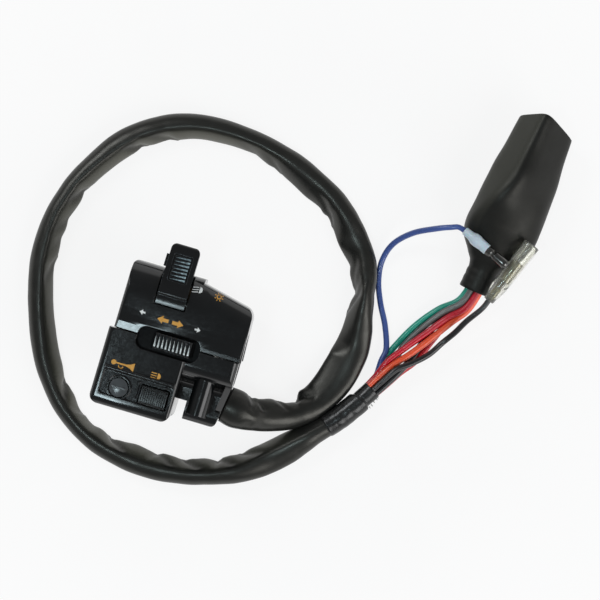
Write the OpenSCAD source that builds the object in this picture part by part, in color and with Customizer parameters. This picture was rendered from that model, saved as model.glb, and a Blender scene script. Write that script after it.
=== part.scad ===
// Left-hand handlebar switch cluster with its wiring loom, face up on a table.
// Millimetres. X runs along the handlebar towards the loom outlet, Y from the lower half
// to the upper half, Z up from the table to the switch face. The origin is the bar's axis,
// halfway along the clamp.

/* [Bar clamp] */
// Diameter of the handlebar inside the clamp
bar_d = 22.2; // [21.8:0.1:23]
// Length of the upper half along the bar
clamp_w = 49.2; // [48:0.2:52]
// Material between the bar and the back of the housing
back_h = 9.9; // [9:0.1:12]
// Gap left between the two halves when they are screwed together
split_gap = 0.3; // [0.2:0.05:0.6]
// Wall thickness of both halves
wall = 2.2; // [1.8:0.1:2.4]

/* [Upper half] */
// Height of the upper half above the bar's axis
upper_h = 26.5; // [25.5:0.5:29]
// Radius of the rounded brow that the dimmer lever rocks over
nose_r = 11.6; // [11:0.1:12.2]
// Where the sloped shoulder begins
shoulder_x = 2.9; // [2.7:0.1:4]
// Slope of the shoulder in degrees
shoulder_slope = 12.6; // [11:0.2:15]

/* [Lower half] */
// How far the button box stands out at the left end
box_step = 1.6; // [0.8:0.2:2.4]
// How far the button box stands proud of the upper face
face_step = 0.8; // [0.4:0.1:1.4]
// Depth of the button box below the bar's axis
box_h = 29; // [28:0.5:31]
// Right side of the button box
box_right = 4.5; // [4.2:0.1:5]
// Depth of the loom block, right of the button box, below the bar's axis
right_h = 26.8; // [26:0.1:28]
// Lean of the loom block's outer side in degrees
side_lean = 8.3; // [6:0.1:10]
// Radius of the front screw tower
tower_r = 3.9; // [3.7:0.1:4.1]
// Length of the front screw tower below the bar's axis
tower_h = 23.4; // [22.5:0.1:25]

/* [Turn switch] */
// Width of the window that the knob slides in
slot_w = 23.9; // [23:0.1:24.4]
// Height of that window
slot_h = 8.7; // [8:0.1:9]
// Width of the knob
knob_w = 15.3; // [14:0.1:15.8]
// Height of the knob
knob_h = 6; // [5:0.1:6.6]
// Ribs across the knob
knob_ribs = 10; // [7:1:12]
// How far the knob stands out of the face
knob_out = 3.2; // [2.4:0.1:4.2]

/* [Dimmer lever] */
// Width of the lever
lever_w = 11; // [10:0.2:11.6]
// Length of the thumb plate
lever_len = 20.2; // [19:0.2:21]
// Ribs on the thumb plate
lever_ribs = 7; // [4:1:8]
// Lean of the thumb plate in degrees
lever_lean = 7.8; // [6:0.2:9]

/* [Push buttons] */
// Diameter of the horn button
horn_d = 6.9; // [6.4:0.1:7.2]
// Width of the flash button
pass_w = 10.2; // [9:0.1:10.2]
// Height of the flash button
pass_h = 7; // [6.4:0.1:7.2]
// Ribs across the flash button
pass_ribs = 13; // [7:1:14]
// Height of both buttons above the pocket floor
button_out = 2.6; // [2.4:0.1:3.4]

/* [Loom and connectors] */
// Diameter of the loom's outer sleeve
sleeve_d = 9.2; // [8.6:0.1:9.3]
// Diameter of each wire
wire_d = 2.1; // [1.8:0.05:2.2]
// Diameter over the tape at the loom's end
tape_d = 9.4; // [9:0.1:9.6]
// Diameter of the bullet terminal
bullet_d = 3.9; // [3.5:0.1:4]
// Wall of the soft boot over the connector
boot_wall = 1.2; // [0.9:0.1:1.3]

/* [Hidden] */
$fn = 48;
// Clearance between pieces that move apart
gap = 0.3;
// Clearance in a bearing, on the radius
run_gap = 0.05;
// Clearance round a pin or screw pressed or driven into its hole
seat_gap = 0.02;

bar_r = bar_d / 2;
left_x = -clamp_w / 2;
right_x = clamp_w / 2;
back_z = -(bar_r + back_h);
side_x = right_x - 0.9;
side_bend = -9;
shoulder_in = 1.6;

// Levels from the bar outwards, through the turn switch to the face
base_z = bar_r + 1.2;
base_t = 1.5;
rivet_z = base_z + base_t + 0.4;
bridge_z = rivet_z + 0.25;
bridge_t = 0.5;
carrier_z = bridge_z + bridge_t;
shutter_z = carrier_z + 2.9;
shutter_t = 1.1;
face_in = shutter_z + shutter_t + 0.35;
face_z = face_in + wall;
box_face = face_z + face_step;

// End saddles that grip the bar, and how far they reach in
saddle_w = 5;
saddle_h = bar_r + 1.2;
cavity_back = 1;

// Screws that pull the halves together
tower_x = 13.5;
screw_r = 2;
screw_hole = 2.3;
tower_z = bar_r + screw_r + 0.8;
boss_r = 3.6;
head_r = 3.1;
head_h = 2.6;
rear_x = -8;
rear_z = -(bar_r + screw_r + 2.8);

// Dimmer pivot, at the centre of the brow
pivot_y = upper_h - nose_r;
pivot_z = face_z - nose_r;
lever_x = -7;
lever_slot = lever_w + 2 * 0.6;
pin_r = 1.5;
hub_r = 4.5;
fan_r = nose_r - wall - 0.4;
lever_tilt = 20;
skirt_r = nose_r - 0.15;
skirt_a = 100;
window_y = pivot_y + skirt_r * cos(skirt_a) - 0.45;
ear_t = 2;
ear_left = lever_x - lever_w / 2 - 1.5;
ear_right = lever_x + lever_w / 2 + 2.6;
throw_a = [30, 82];
detent_r = 1.2;
detent_y = pivot_y + 6 * cos(60);
detent_z = pivot_z + 6 * sin(60);

// Turn switch layout
slot_x = -3.45;
slot_y = -0.65;
slot_corner = 3.3;
knob_x = -1.65;
shutter_w = slot_w + 7.1;
shutter_h = slot_h + 2;
rail_in = 4.5;
rail_t = 1.7;
base_x0 = left_x + wall + gap;
base_x1 = tower_x - tower_r - 0.2;
rail_x0 = left_x + 6.2;
rail_x1 = 6;
carrier_w = 15.4;
base_screws = [[left_x + 3.8, slot_y - 4.85], [base_x1 - 1.6, slot_y - 5.45]];
tap_r = 0.8;
ball_r = 0.9;
ball_y = slot_y + rail_in - gap - 0.1;

// Push buttons
pocket_d = 1.6;
floor_z = box_face - pocket_d;
floor_t = 2;
under_z = floor_z - floor_t;
horn_x = left_x + 8.2;
pass_x = box_right - wall - gap - pass_w / 2;
button_y = 8 - box_h;
pocket_x0 = left_x + 1.3;
pocket_x1 = box_right - 1.2;
board_screw = [(horn_x + pass_x) / 2 - 0.25, button_y];
board_y0 = button_y - 4.8;
board_y1 = button_y + 5.8;
divider_x = pass_x - pass_w / 2 - gap - 1.25;
flange_t = 1.3;
flange_z = under_z - gap - flange_t;
stem_r = 1.6;
board_z = 7.5;
board_t = 1.5;
press = 2;
strip_t = 0.4;
puck_z = board_z + strip_t + press + 0.2;
puck_t = 0.5;
puck_r = 2;
coil_r = 3;
coil_wire = 0.3;

// Loom outlet
outlet_y = -17.2;
outlet_z = -7;
outlet_x = side_x - (side_bend - outlet_y) * tan(side_lean);
outlet_r = 3.6;
grommet_r = 5;
grommet_deep = 4.6;
grommet_out = 1.6;
block_x = 8.5;
corner_y = -19.6;

sleeve_r = sleeve_d / 2;
wire_r = wire_d / 2;
tape_r = tape_d / 2;
floor_lie = back_z + sleeve_r;

// Outlines as corner lists: across, up, corner radius
upper_side = [
    [-12, back_z, 0],
    [13, back_z, 5],
    [upper_h, -9, 9],
    [upper_h, face_z, nose_r],
    [-12, face_z, 0]];
// Outside of the upper half: its face falls gently towards the split
crown_fall = 5;
crown_y = 6;
crowned_side = [
    [-12, back_z, 0],
    [13, back_z, 5],
    [upper_h, -9, 9],
    [upper_h, face_z, nose_r],
    [crown_y, face_z, 130],
    [-12, face_z - (crown_y + 12) * tan(crown_fall), 0]];
box_side = [
    [12, box_face, 0],
    [-box_h, box_face, 3],
    [-box_h, 1, 5],
    [-17.5, -13, 5],
    [-17.5, back_z, 3.5],
    [12, back_z, 0]];
right_side = [
    [12, face_z, 0],
    [-8.5, face_z, 4],
    [-11.5, 12, 4],
    [-12.5, 4, 3],
    [-right_h, 4, 4],
    [-right_h, back_z, 6],
    [12, back_z, 0]];
end_side = [
    [12, face_z - 1.5, 0],
    [-9, face_z - 1.5, 5],
    [-20, 6, 6],
    [-22, 0, 1],
    [12, 0, 0]];
upper_plan = [
    [left_x, -12, 0],
    [right_x + 0.2, -12, 0],
    [right_x - 1.1, upper_h - shoulder_in - (right_x - 1.1 - shoulder_x) * tan(shoulder_slope), 4.5],
    [shoulder_x, upper_h - shoulder_in, 0],
    [shoulder_x, upper_h, 0],
    [left_x, upper_h, 2]];
box_plan = [
    [left_x - box_step, -box_h, 3.5],
    [box_right, -box_h, 3.5],
    [box_right, 12, 0],
    [left_x - box_step, 12, 0]];
right_plan = [
    [box_right - 9, -right_h, 0],
    [side_x - (right_h + side_bend) * tan(side_lean), -right_h, 2.5],
    [side_x, side_bend, 0],
    [side_x, 12, 0],
    [box_right - 9, 12, 0]];

function unit(v) = v / norm(v);
function flat(p) = [p[0], p[1]];

// An arc that rounds the corner b between its neighbours a and c
function corner_arc(a, b, c, r, n = 9) =
    r <= 0 ? [b] :
    let (
        d1 = unit(b - a),
        d2 = unit(c - b),
        turn = atan2(cross(d1, d2), d1 * d2),
        side = sign(turn),
        start = b - d1 * r * tan(abs(turn) / 2),
        mid = start + side * r * [-d1[1], d1[0]],
        a0 = atan2(d1[1], d1[0]) - side * 90)
    [for (i = [0:n]) mid + r * [cos(a0 + turn * i / n), sin(a0 + turn * i / n)]];

function rounded(c) =
    let (n = len(c))
    [for (i = [0:n - 1])
        each corner_arc(flat(c[(i + n - 1) % n]), flat(c[i]), flat(c[(i + 1) % n]), c[i][2])];

// The same corners moved inwards by g
function inset(c, g) =
    let (n = len(c))
    [for (i = [0:n - 1])
        let (
            d1 = unit(flat(c[i]) - flat(c[(i + n - 1) % n])),
            d2 = unit(flat(c[(i + 1) % n]) - flat(c[i])),
            n1 = [-d1[1], d1[0]],
            n2 = [-d2[1], d2[0]],
            p = flat(c[i]) + g * (n1 + n2) / (1 + n1 * n2),
            r = c[i][2],
            turn = cross(d1, d2))
        [p[0], p[1], r <= 0 ? 0 : turn > 0 ? max(r - g, 0.3) : r + g]];

function box_corners(w, h, r) = [
    [-w / 2, -h / 2, r],
    [w / 2, -h / 2, r],
    [w / 2, h / 2, r],
    [-w / 2, h / 2, r]];

// A row of ribs along a top edge, for a profile that is then extruded
function rib_edge(w, z, h, n) =
    let (p = w / n)
    [for (i = [0:n - 1])
        each [
            [w / 2 - (i + 0.08) * p, z - h],
            [w / 2 - (i + 0.26) * p, z],
            [w / 2 - (i + 0.74) * p, z],
            [w / 2 - (i + 0.92) * p, z - h]]];

module along_x(pts, x0, x1) {
    translate([x0, 0, 0])
        rotate([90, 0, 90])
            linear_extrude(x1 - x0)
                polygon(pts);
}

module along_y(pts, y0, y1) {
    translate([0, y1, 0])
        rotate([90, 0, 0])
            linear_extrude(y1 - y0)
                polygon(pts);
}

module along_z(pts, z0, z1) {
    translate([0, 0, z0])
        linear_extrude(z1 - z0)
            polygon(pts);
}

module rod_x(r, x0, x1, y, z) {
    translate([x0, y, z])
        rotate([0, 90, 0])
            cylinder(r = r, h = x1 - x0);
}

module rod_y(r, y0, y1, x, z) {
    translate([x, y1, z])
        rotate([90, 0, 0])
            cylinder(r = r, h = y1 - y0);
}

module rod_z(r, z0, z1, x, y) {
    translate([x, y, z0])
        cylinder(r = r, h = z1 - z0);
}

module span(x0, x1, y0, y1, z0, z1) {
    translate([x0, y0, z0])
        cube([x1 - x0, y1 - y0, z1 - z0]);
}

// Outer form of the upper half, or its inside at depth g
module upper_form(g) {
    intersection() {
        along_x(rounded(g > 0 ? inset(upper_side, g) : crowned_side), left_x + g, right_x + 1 - g);
        along_z(rounded(inset(upper_plan, g)), back_z - 1, face_z + 1);
        along_y(
            rounded(inset([
                [left_x, back_z, 2],
                [right_x + 0.2, back_z, 2],
                [right_x + 0.2, face_z, 2.5],
                [left_x, face_z, 2]], g)),
            -14,
            upper_h + 1);
        union() {
            span(left_x - 1, shoulder_x - g, -14, upper_h + 1, back_z - 1, face_z + 1);
            translate([shoulder_x, upper_h - shoulder_in, 0])
                rotate([0, 0, -shoulder_slope])
                    along_x(
                        rounded(inset([
                            [-70, back_z - 9, 0],
                            [0, back_z - 9, 0],
                            [0, face_z, 8],
                            [-70, face_z, 0]], g)),
                        -30,
                        40);
        }
    }
}

// Outer form of the button box, or its inside at depth g
module box_form(g) {
    intersection() {
        along_x(rounded(inset(box_side, g)), left_x - box_step + g, box_right - g);
        along_z(rounded(inset(box_plan, g)), back_z - 1, box_face + 1);
        along_y(
            rounded(inset([
                [left_x - box_step, back_z, 2],
                [box_right, back_z, 1],
                [box_right, box_face, 1.4],
                [left_x - box_step, box_face, 2]], g)),
            -box_h - 1,
            14);
    }
}

// Outer form of the lower half's right side, or its inside at depth g
module right_form(g) {
    edge = rounded(inset([
        [-40, back_z, 0],
        [0, back_z, 2.5],
        [0, face_z, 2.5],
        [-40, face_z, 0]], g));
    intersection() {
        along_x(rounded(inset(right_side, g)), box_right - 4, side_x + 1 - g);
        along_z(rounded(inset(right_plan, g)), back_z - 1, face_z + 1);
        translate([side_x, side_bend, 0])
            along_y(edge, -60, 60);
        translate([side_x, side_bend, 0])
            rotate([0, 0, -side_lean])
                along_y(edge, -60, 60);
    }
}

// The loom outlet's own frame, X straight out of the leaning side
function outlet_pt(d) = [outlet_x + d * cos(side_lean), outlet_y - d * sin(side_lean), outlet_z];

module at_outlet() {
    translate([outlet_x, outlet_y, outlet_z])
        rotate([0, 0, -side_lean])
            children();
}

module above_split() {
    span(-60, 60, split_gap / 2, 60, -60, 60);
}

module below_split() {
    span(-60, 60, -60, -split_gap / 2, -60, 60);
}

// Room for the switch works: clear of the end saddles and of the solid back
module works_room(x0, x1) {
    difference() {
        span(x0, x1, -60, 60, cavity_back, 60);
        span(x0 - 1, left_x + saddle_w, -saddle_h, saddle_h, -60, saddle_h);
        span(right_x - saddle_w, x1 + 1, -saddle_h, saddle_h, -60, saddle_h);
    }
}

module slot_shape(z0, z1) {
    translate([slot_x, slot_y, 0])
        along_z(rounded(box_corners(slot_w, slot_h, slot_corner)), z0, z1);
}

module bar_bore() {
    rod_x(bar_r, -60, 60, 0, 0);
}

module upper_housing() {
    color([0.05, 0.05, 0.06])
    difference() {
        union() {
            intersection() {
                above_split();
                difference() {
                    upper_form(0);
                    intersection() {
                        upper_form(wall);
                        works_room(left_x, right_x);
                    }
                }
            }
            // Ears that carry the dimmer pivot
            intersection() {
                upper_form(0.5);
                union() {
                    span(ear_left - ear_t, ear_left, pivot_y - 6, upper_h, pivot_z - 6, face_z);
                    span(ear_right, ear_right + ear_t, pivot_y - 6, upper_h, pivot_z - 6, face_z);
                }
            }
            // Threaded boss for the front screw, with its web
            rod_y(boss_r, split_gap / 2, 13, tower_x, tower_z);
            span(tower_x - 1, tower_x + 1, split_gap / 2 + slot_h, 13, tower_z, face_in + 0.5);
            span(tower_x, right_x - 1, 9, 13, tower_z - 1, tower_z + 1);
        }
        bar_bore();
        slot_shape(face_in - 1, face_z + 2);
        // Window that the dimmer lever passes through
        span(
            lever_x - lever_slot / 2,
            lever_x + lever_slot / 2,
            window_y,
            60,
            pivot_z + nose_r * sin(15),
            60);
        rod_x(pin_r + seat_gap, ear_left - ear_t - 1, ear_right + ear_t + 1, pivot_y, pivot_z);
        // Detent dimples in the left ear, one for each lever position
        for (a = [0, -lever_tilt])
            translate([ear_left + 0.9, pivot_y, pivot_z])
                rotate([a, 0, 0])
                    translate([0, detent_y - pivot_y, detent_z - pivot_z])
                        sphere(r = detent_r + gap);
        rod_y(screw_r + seat_gap, -1, 11, tower_x, tower_z);
        rod_y(screw_r + seat_gap, -1, 10, rear_x, rear_z);
    }
}

module lower_housing() {
    color([0.05, 0.05, 0.06])
    difference() {
        union() {
            intersection() {
                below_split();
                difference() {
                    union() {
                        box_form(0);
                        difference() {
                            right_form(0);
                            // Open corner between the button box and the screw tower
                            span(box_right, block_x, -60, corner_y, -60, 60);
                        }
                    }
                    intersection() {
                        box_form(wall);
                        union() {
                            works_room(left_x - box_step, right_x);
                            span(-60, 60, -60, -bar_r - wall, -60, 60);
                        }
                    }
                    intersection() {
                        right_form(wall);
                        works_room(box_right - wall - 1, right_x);
                        span(-60, 60, -10.3, 60, cavity_back, 60);
                    }
                }
            }
            // Front screw tower, its web and the end wall beside it
            rod_y(tower_r, -tower_h, -split_gap / 2, tower_x, tower_z);
            span(tower_x - 1, tower_x + 1, -tower_h + 1.5, -11, 3, tower_z);
            intersection() {
                along_x(rounded(end_side), tower_x + tower_r - 1, side_x + 1);
                difference() {
                    along_z(rounded(inset(right_plan, 0.02)), -1, face_z);
                    along_z(rounded(inset(right_plan, wall + 0.1)), -2, face_z + 1);
                }
                below_split();
            }
            // Ledge under the turn switch base
            span(base_x1 - 3.2, tower_x - tower_r + 1, -7.6, -4.7, base_z - 1.7, base_z);
            // Ledges and post under the push button board
            intersection() {
                box_form(0.5);
                union() {
                    span(left_x - box_step + 1, left_x - box_step + wall + 1.6,
                        board_y0 - 0.2, board_y1 + 0.2, board_z - board_t - 2.5, board_z - board_t);
                    span(box_right - wall - 1.6, box_right - 1,
                        board_y0 - 0.2, board_y1 + 0.2, board_z - board_t - 2.5, board_z - board_t);
                    rod_z(2.6, back_z, board_z - board_t, board_screw[0], board_screw[1]);
                }
            }
            // Brow over the button pocket and collar round the horn button
            rod_x(0.9, pocket_x0 - 0.1, pocket_x1, button_y + 6.2, box_face - 0.1);
            rod_z(horn_d / 2 + 1.1, floor_z - 1, box_face - 0.3, horn_x, button_y);
        }
        bar_bore();
        slot_shape(face_in - 1, box_face + 2);
        // Button pocket
        difference() {
            translate([(pocket_x0 + pocket_x1) / 2, button_y + 0.8, 0])
                along_z(rounded(box_corners(pocket_x1 - pocket_x0, 9, 1.5)), floor_z, box_face + 2);
            rod_z(horn_d / 2 + 1.1, 0, box_face - 0.3, horn_x, button_y);
            // Divider between the buttons, and a moulded pip over the flash button
            span(divider_x - 0.45, divider_x + 0.45, button_y - 2.4, button_y + 4.2, 0, floor_z + 0.9);
            rod_z(0.55, 0, floor_z + 0.8, pass_x + 3.4, button_y + 4.45);
        }
        rod_z(horn_d / 2 + gap, under_z - 1, 60, horn_x, button_y);
        translate([pass_x, button_y, 0])
            along_z(rounded(box_corners(pass_w + 2 * gap, pass_h + 2 * gap, 0.8)), under_z - 1, 60);
        // Front and rear clamp screws
        rod_y(screw_hole, -tower_h - 1, 1, tower_x, tower_z);
        rod_y(head_r + gap, -tower_h - 1, -tower_h + 3.4, tower_x, tower_z);
        rod_y(screw_hole, -30, 1, rear_x, rear_z);
        rod_y(head_r + gap, -30, -13.5, rear_x, rear_z);
        // Loom outlet
        at_outlet() {
            rod_x(outlet_r, -21.5, 20, 0, 0);
            rod_x(grommet_r, -grommet_deep, 20, 0, 0);
        }
        // Pilot holes for the base and board screws
        for (c = base_screws)
            rod_z(tap_r + seat_gap, base_z - 3, base_z + 1, c[0], c[1]);
        rod_z(tap_r + seat_gap, board_z - board_t - 5, board_z, board_screw[0], board_screw[1]);
    }
}

module cap_screw(x, z, y_head, y_tip) {
    difference() {
        union() {
            rod_y(screw_r, y_head, y_tip, x, z);
            rod_y(head_r, y_head - head_h, y_head, x, z);
        }
        for (a = [0, 90])
            translate([x, y_head - head_h, z])
                rotate([0, a, 0])
                    cube([4.2, 2.4, 0.9], center = true);
    }
}

module clamp_screws() {
    color([0.7, 0.71, 0.72]) {
        cap_screw(tower_x, tower_z, -tower_h + 3.4, 10);
        cap_screw(rear_x, rear_z, -13.5, 9);
    }
}

module thumb_plate() {
    rib_step = 9.6 / lever_ribs;
    translate([lever_x, pivot_y + 1.6, face_z + 1.7])
        rotate([-lever_lean, 0, 0])
            difference() {
                intersection() {
                    along_z(
                        rounded([
                            [-lever_w / 2, 0, 0.8],
                            [lever_w / 2, 0, 0.8],
                            [lever_w / 2, lever_len, 2.4],
                            [-lever_w / 2, lever_len, 2.4]]),
                        -6,
                        1);
                    along_x(
                        rounded([
                            [0, -5, 0],
                            [lever_len - 7, -5, 6],
                            [lever_len, -3, 1.2],
                            [lever_len, 0, 1.4],
                            [0, 0, 0.9]]),
                        -lever_w,
                        lever_w);
                }
                // Recess with its finger ribs left standing
                difference() {
                    translate([0, lever_len / 2 + 1, 0])
                        along_z(rounded(box_corners(7.4, 10.6, 0.8)), -0.9, 2);
                    for (i = [0:lever_ribs - 1])
                        translate([0, lever_len / 2 + 1 + (i - (lever_ribs - 1) / 2) * rib_step, -0.5])
                            cube([5.8, 0.55 * rib_step, 1.4], center = true);
                }
            }
}

module dimmer_lever() {
    sweep = [for (a = [-10:9:125]) fan_r * [cos(a), sin(a)]];
    skirt = [for (a = [60:5:skirt_a]) skirt_r * [cos(a), sin(a)]];
    color([0.06, 0.06, 0.07])
    difference() {
        union() {
            translate([0, pivot_y, pivot_z]) {
                rod_x(hub_r, lever_x - lever_w / 2, lever_x + lever_w / 2, 0, 0);
                along_x(concat([[0, 0]], sweep), lever_x - lever_w / 2, lever_x + lever_w / 2);
                along_x(concat([[0, 0]], skirt), lever_x - lever_w / 2, lever_x + lever_w / 2);
            }
            thumb_plate();
            // Side tab behind the thumb plate
            translate([lever_x - lever_w / 2, pivot_y + 1.6, face_z + 1.7])
                rotate([-lever_lean, 0, 0])
                    span(-1, 1, 11, 15.6, -3.4, -1.6);
        }
        rod_x(pin_r + run_gap, lever_x - lever_w, lever_x + lever_w, pivot_y, pivot_z);
        rod_x(detent_r + run_gap, lever_x - lever_w, lever_x - lever_w / 2 + 6, detent_y, detent_z);
    }
}

module dimmer_pivot_pin() {
    color([0.75, 0.75, 0.76])
    rod_x(pin_r, ear_left - ear_t + 0.3, ear_right + ear_t - 0.3, pivot_y, pivot_z);
}

module dimmer_detent_ball() {
    color([0.8, 0.8, 0.82])
    translate([lever_x - lever_w / 2 + 0.1, detent_y, detent_z])
        sphere(r = detent_r);
}

// A round bar wound into a coil along Z from z0 to z1
function coil_path(r, z0, z1, turns, n) =
    [for (i = [0:turns * n])
        [r * cos(360 * i / n), r * sin(360 * i / n), z0 + (z1 - z0) * i / (turns * n)]];

module tube(path, r, sides = 8) {
    n = len(path);
    ways = [for (i = [0:n - 1])
        unit(path[min(i + 1, n - 1)] - path[max(i - 1, 0)])];
    pts = [for (i = [0:n - 1])
        let (
            t = ways[i],
            u = unit(cross(abs(t[2]) > 0.9 ? [1, 0, 0] : [0, 0, 1], t)),
            v = cross(t, u))
        for (k = [0:sides - 1])
            path[i] + r * (cos(360 * (k + 0.5) / sides) * u + sin(360 * (k + 0.5) / sides) * v)];
    faces = concat(
        [[for (k = [0:sides - 1]) k]],
        [for (i = [0:n - 2])
            for (k = [0:sides - 1])
                each [
                    [i * sides + k, (i + 1) * sides + k, (i + 1) * sides + (k + 1) % sides],
                    [i * sides + k, (i + 1) * sides + (k + 1) % sides, i * sides + (k + 1) % sides]]],
        [[for (k = [sides - 1:-1:0]) (n - 1) * sides + k]]);
    polyhedron(points = pts, faces = faces, convexity = 10);
}

module coil(r, wire, z0, z1, turns) {
    tube(coil_path(r, z0 + wire, z1 - wire, turns, 10), wire, 6);
}

module dimmer_detent_spring() {
    color([0.7, 0.7, 0.7])
    translate([0, detent_y, detent_z])
        rotate([0, 90, 0])
            coil(0.85, 0.2,
                lever_x - lever_w / 2 + 0.1 + detent_r,
                lever_x - lever_w / 2 + 6,
                4);
}

module dimmer_moving_contact() {
    color([0.8, 0.6, 0.25])
    translate([0, pivot_y, pivot_z])
        difference() {
            along_x(
                [for (p = [[5, 15], [8, 15], [8, 45], [8, 75], [5, 75], [5, 45]])
                    p[0] * [cos(p[1]), sin(p[1])]],
                lever_x + lever_w / 2,
                lever_x + lever_w / 2 + 0.5);
            rod_x(pin_r + 1, -20, 20, 0, 0);
        }
}

module dimmer_base() {
    color([0.35, 0.2, 0.1])
    difference() {
        span(ear_right - 1.3, ear_right, pivot_y - 5, pivot_y + 6, pivot_z - 5, pivot_z + 6.6);
        rod_x(pin_r + seat_gap, 0, 60, pivot_y, pivot_z);
        rod_x(pin_r + seat_gap, -60, 0.01, pivot_y, pivot_z);
        for (a = throw_a)
            translate([0, pivot_y + 5.6 * cos(a), pivot_z + 5.6 * sin(a)])
                rod_x(0.8, -20, 20, 0, 0);
    }
}

module dimmer_fixed_contacts() {
    color([0.8, 0.6, 0.25])
    for (a = throw_a)
        translate([0, pivot_y + 5.6 * cos(a), pivot_z + 5.6 * sin(a)]) {
            rod_x(0.8, ear_right - 1.3, ear_right, 0, 0);
            rod_x(1.1, ear_right - 1.6, ear_right - 1.3, 0, 0);
        }
}

module turn_knob() {
    top = face_z + knob_out;
    color([0.07, 0.07, 0.08])
    translate([knob_x, slot_y + 0.2, 0])
        intersection() {
            along_z(rounded(box_corners(knob_w + 1, knob_h + 0.6, 1.6)), shutter_z, top + 1);
            along_y(
                concat(
                    [[-knob_w / 2 - 0.5, shutter_z + shutter_t], [knob_w / 2 + 0.5, shutter_z + shutter_t]],
                    rib_edge(knob_w - 1, top, 0.7, knob_ribs)),
                -knob_h,
                knob_h);
            along_x(
                rounded([
                    [-knob_h / 2 - 0.3, shutter_z + shutter_t, 0],
                    [knob_h / 2 + 0.3, shutter_z + shutter_t, 0],
                    [knob_h / 2, top, 0.9],
                    [-knob_h / 2, top, 0.9]]),
                -knob_w,
                knob_w);
        }
}

module turn_slider() {
    color([0.08, 0.08, 0.09])
    difference() {
        union() {
            span(knob_x - shutter_w / 2, knob_x + shutter_w / 2,
                slot_y - shutter_h / 2, slot_y + shutter_h / 2,
                shutter_z, shutter_z + shutter_t);
            span(knob_x - carrier_w / 2, knob_x + carrier_w / 2,
                slot_y - rail_in + gap, slot_y + rail_in - gap,
                carrier_z, shutter_z + 0.5);
        }
        rod_y(ball_r + run_gap, slot_y, 20, knob_x, (carrier_z + shutter_z) / 2);
    }
}

module turn_moving_contact() {
    color([0.8, 0.6, 0.25])
    span(knob_x - 3.4, knob_x + 3.4, slot_y - 1.5, slot_y + 1.5, bridge_z, carrier_z);
}

module turn_detent_ball() {
    color([0.8, 0.8, 0.82])
    translate([knob_x, ball_y, (carrier_z + shutter_z) / 2])
        sphere(r = ball_r);
}

module turn_detent_spring() {
    color([0.7, 0.7, 0.7])
    translate([knob_x, 0, (carrier_z + shutter_z) / 2])
        rotate([-90, 0, 0])
            coil(0.6, 0.18, slot_y, ball_y - ball_r, 4);
}

module turn_base() {
    color([0.35, 0.2, 0.1])
    difference() {
        union() {
            span(base_x0, base_x1, slot_y - rail_in - rail_t, slot_y + rail_in + rail_t,
                base_z, base_z + base_t);
            for (s = [-1, 1])
                translate([0, slot_y + s * (rail_in + rail_t / 2), 0])
                    span(rail_x0, rail_x1, -rail_t / 2, rail_t / 2,
                        base_z, shutter_z - gap);
        }
        for (x = [-9.4, -4.4, 0.6])
            rod_z(0.9, 0, 30, x, slot_y);
        // Detent notches for the left, middle and right positions
        for (x = [0, -2.5, -5])
            translate([knob_x + x, slot_y + rail_in - 0.2, (carrier_z + shutter_z) / 2])
                sphere(r = 1.25);
        // Shallow track that the detent ball rolls in between them
        rod_x(ball_r + 2 * run_gap, rail_x0 - 1, rail_x1 + 1, ball_y, (carrier_z + shutter_z) / 2);
        for (c = base_screws)
            rod_z(tap_r + seat_gap, 0, 30, c[0], c[1]);
    }
}

module turn_fixed_contacts() {
    color([0.8, 0.6, 0.25])
    for (x = [-9.4, -4.4, 0.6]) {
        rod_z(0.9, base_z - 0.5, rivet_z, x, slot_y);
        rod_z(1.5, base_z + base_t, rivet_z, x, slot_y);
    }
}

module small_screw(x, y, z, deep) {
    difference() {
        union() {
            rod_z(tap_r, z - deep, z, x, y);
            rod_z(1.4, z, z + 1, x, y);
        }
        translate([x, y, z + 1])
            cube([2.2, 0.5, 1], center = true);
    }
}

module board_screws() {
    color([0.72, 0.72, 0.74]) {
        for (c = base_screws)
            small_screw(c[0], c[1], base_z + base_t, 3);
        small_screw(board_screw[0], board_screw[1], board_z, 5);
    }
}

module push_stem(x) {
    rod_z(stem_r, puck_z + puck_t, flange_z + 0.5, x, button_y);
}

module horn_button() {
    top = floor_z + button_out;
    color([0.2, 0.2, 0.21]) {
        intersection() {
            rod_z(horn_d / 2, flange_z, top, horn_x, button_y);
            translate([horn_x, button_y, top - 16])
                sphere(r = 16, $fn = 96);
        }
        span(horn_x - 2.7, horn_x + 2.7, button_y - 0.35, button_y + 0.35, top - 1, top + 0.3);
        rod_z(horn_d / 2 + 1.1, flange_z, flange_z + flange_t, horn_x, button_y);
        push_stem(horn_x);
    }
}

module pass_button() {
    top = floor_z + button_out;
    color([0.08, 0.08, 0.09]) {
        translate([pass_x, button_y, 0]) {
            intersection() {
                along_y(
                    concat(
                        [[-pass_w / 2, flange_z], [pass_w / 2, flange_z]],
                        rib_edge(pass_w, top, 0.6, pass_ribs)),
                    -pass_h,
                    pass_h);
                along_x(
                    rounded([
                        [-pass_h / 2, flange_z, 0],
                        [pass_h / 2, flange_z, 0],
                        [pass_h / 2, top, 1],
                        [-pass_h / 2, top, 1]]),
                    -pass_w,
                    pass_w);
            }
            span(-pass_w / 2, pass_w / 2, -pass_h / 2 - 0.6, pass_h / 2 + 0.6,
                flange_z, flange_z + flange_t);
        }
        push_stem(pass_x);
    }
}

module contact_puck(x) {
    color([0.8, 0.6, 0.25])
    rod_z(puck_r, puck_z, puck_z + puck_t, x, button_y);
}

module horn_moving_contact() {
    contact_puck(horn_x);
}

module pass_moving_contact() {
    contact_puck(pass_x);
}

module horn_spring() {
    color([0.7, 0.7, 0.7])
    translate([horn_x, button_y, 0])
        coil(coil_r, coil_wire, board_z, flange_z, 5);
}

module pass_spring() {
    color([0.7, 0.7, 0.7])
    translate([pass_x, button_y, 0])
        coil(coil_r, coil_wire, board_z, flange_z, 5);
}

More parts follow.
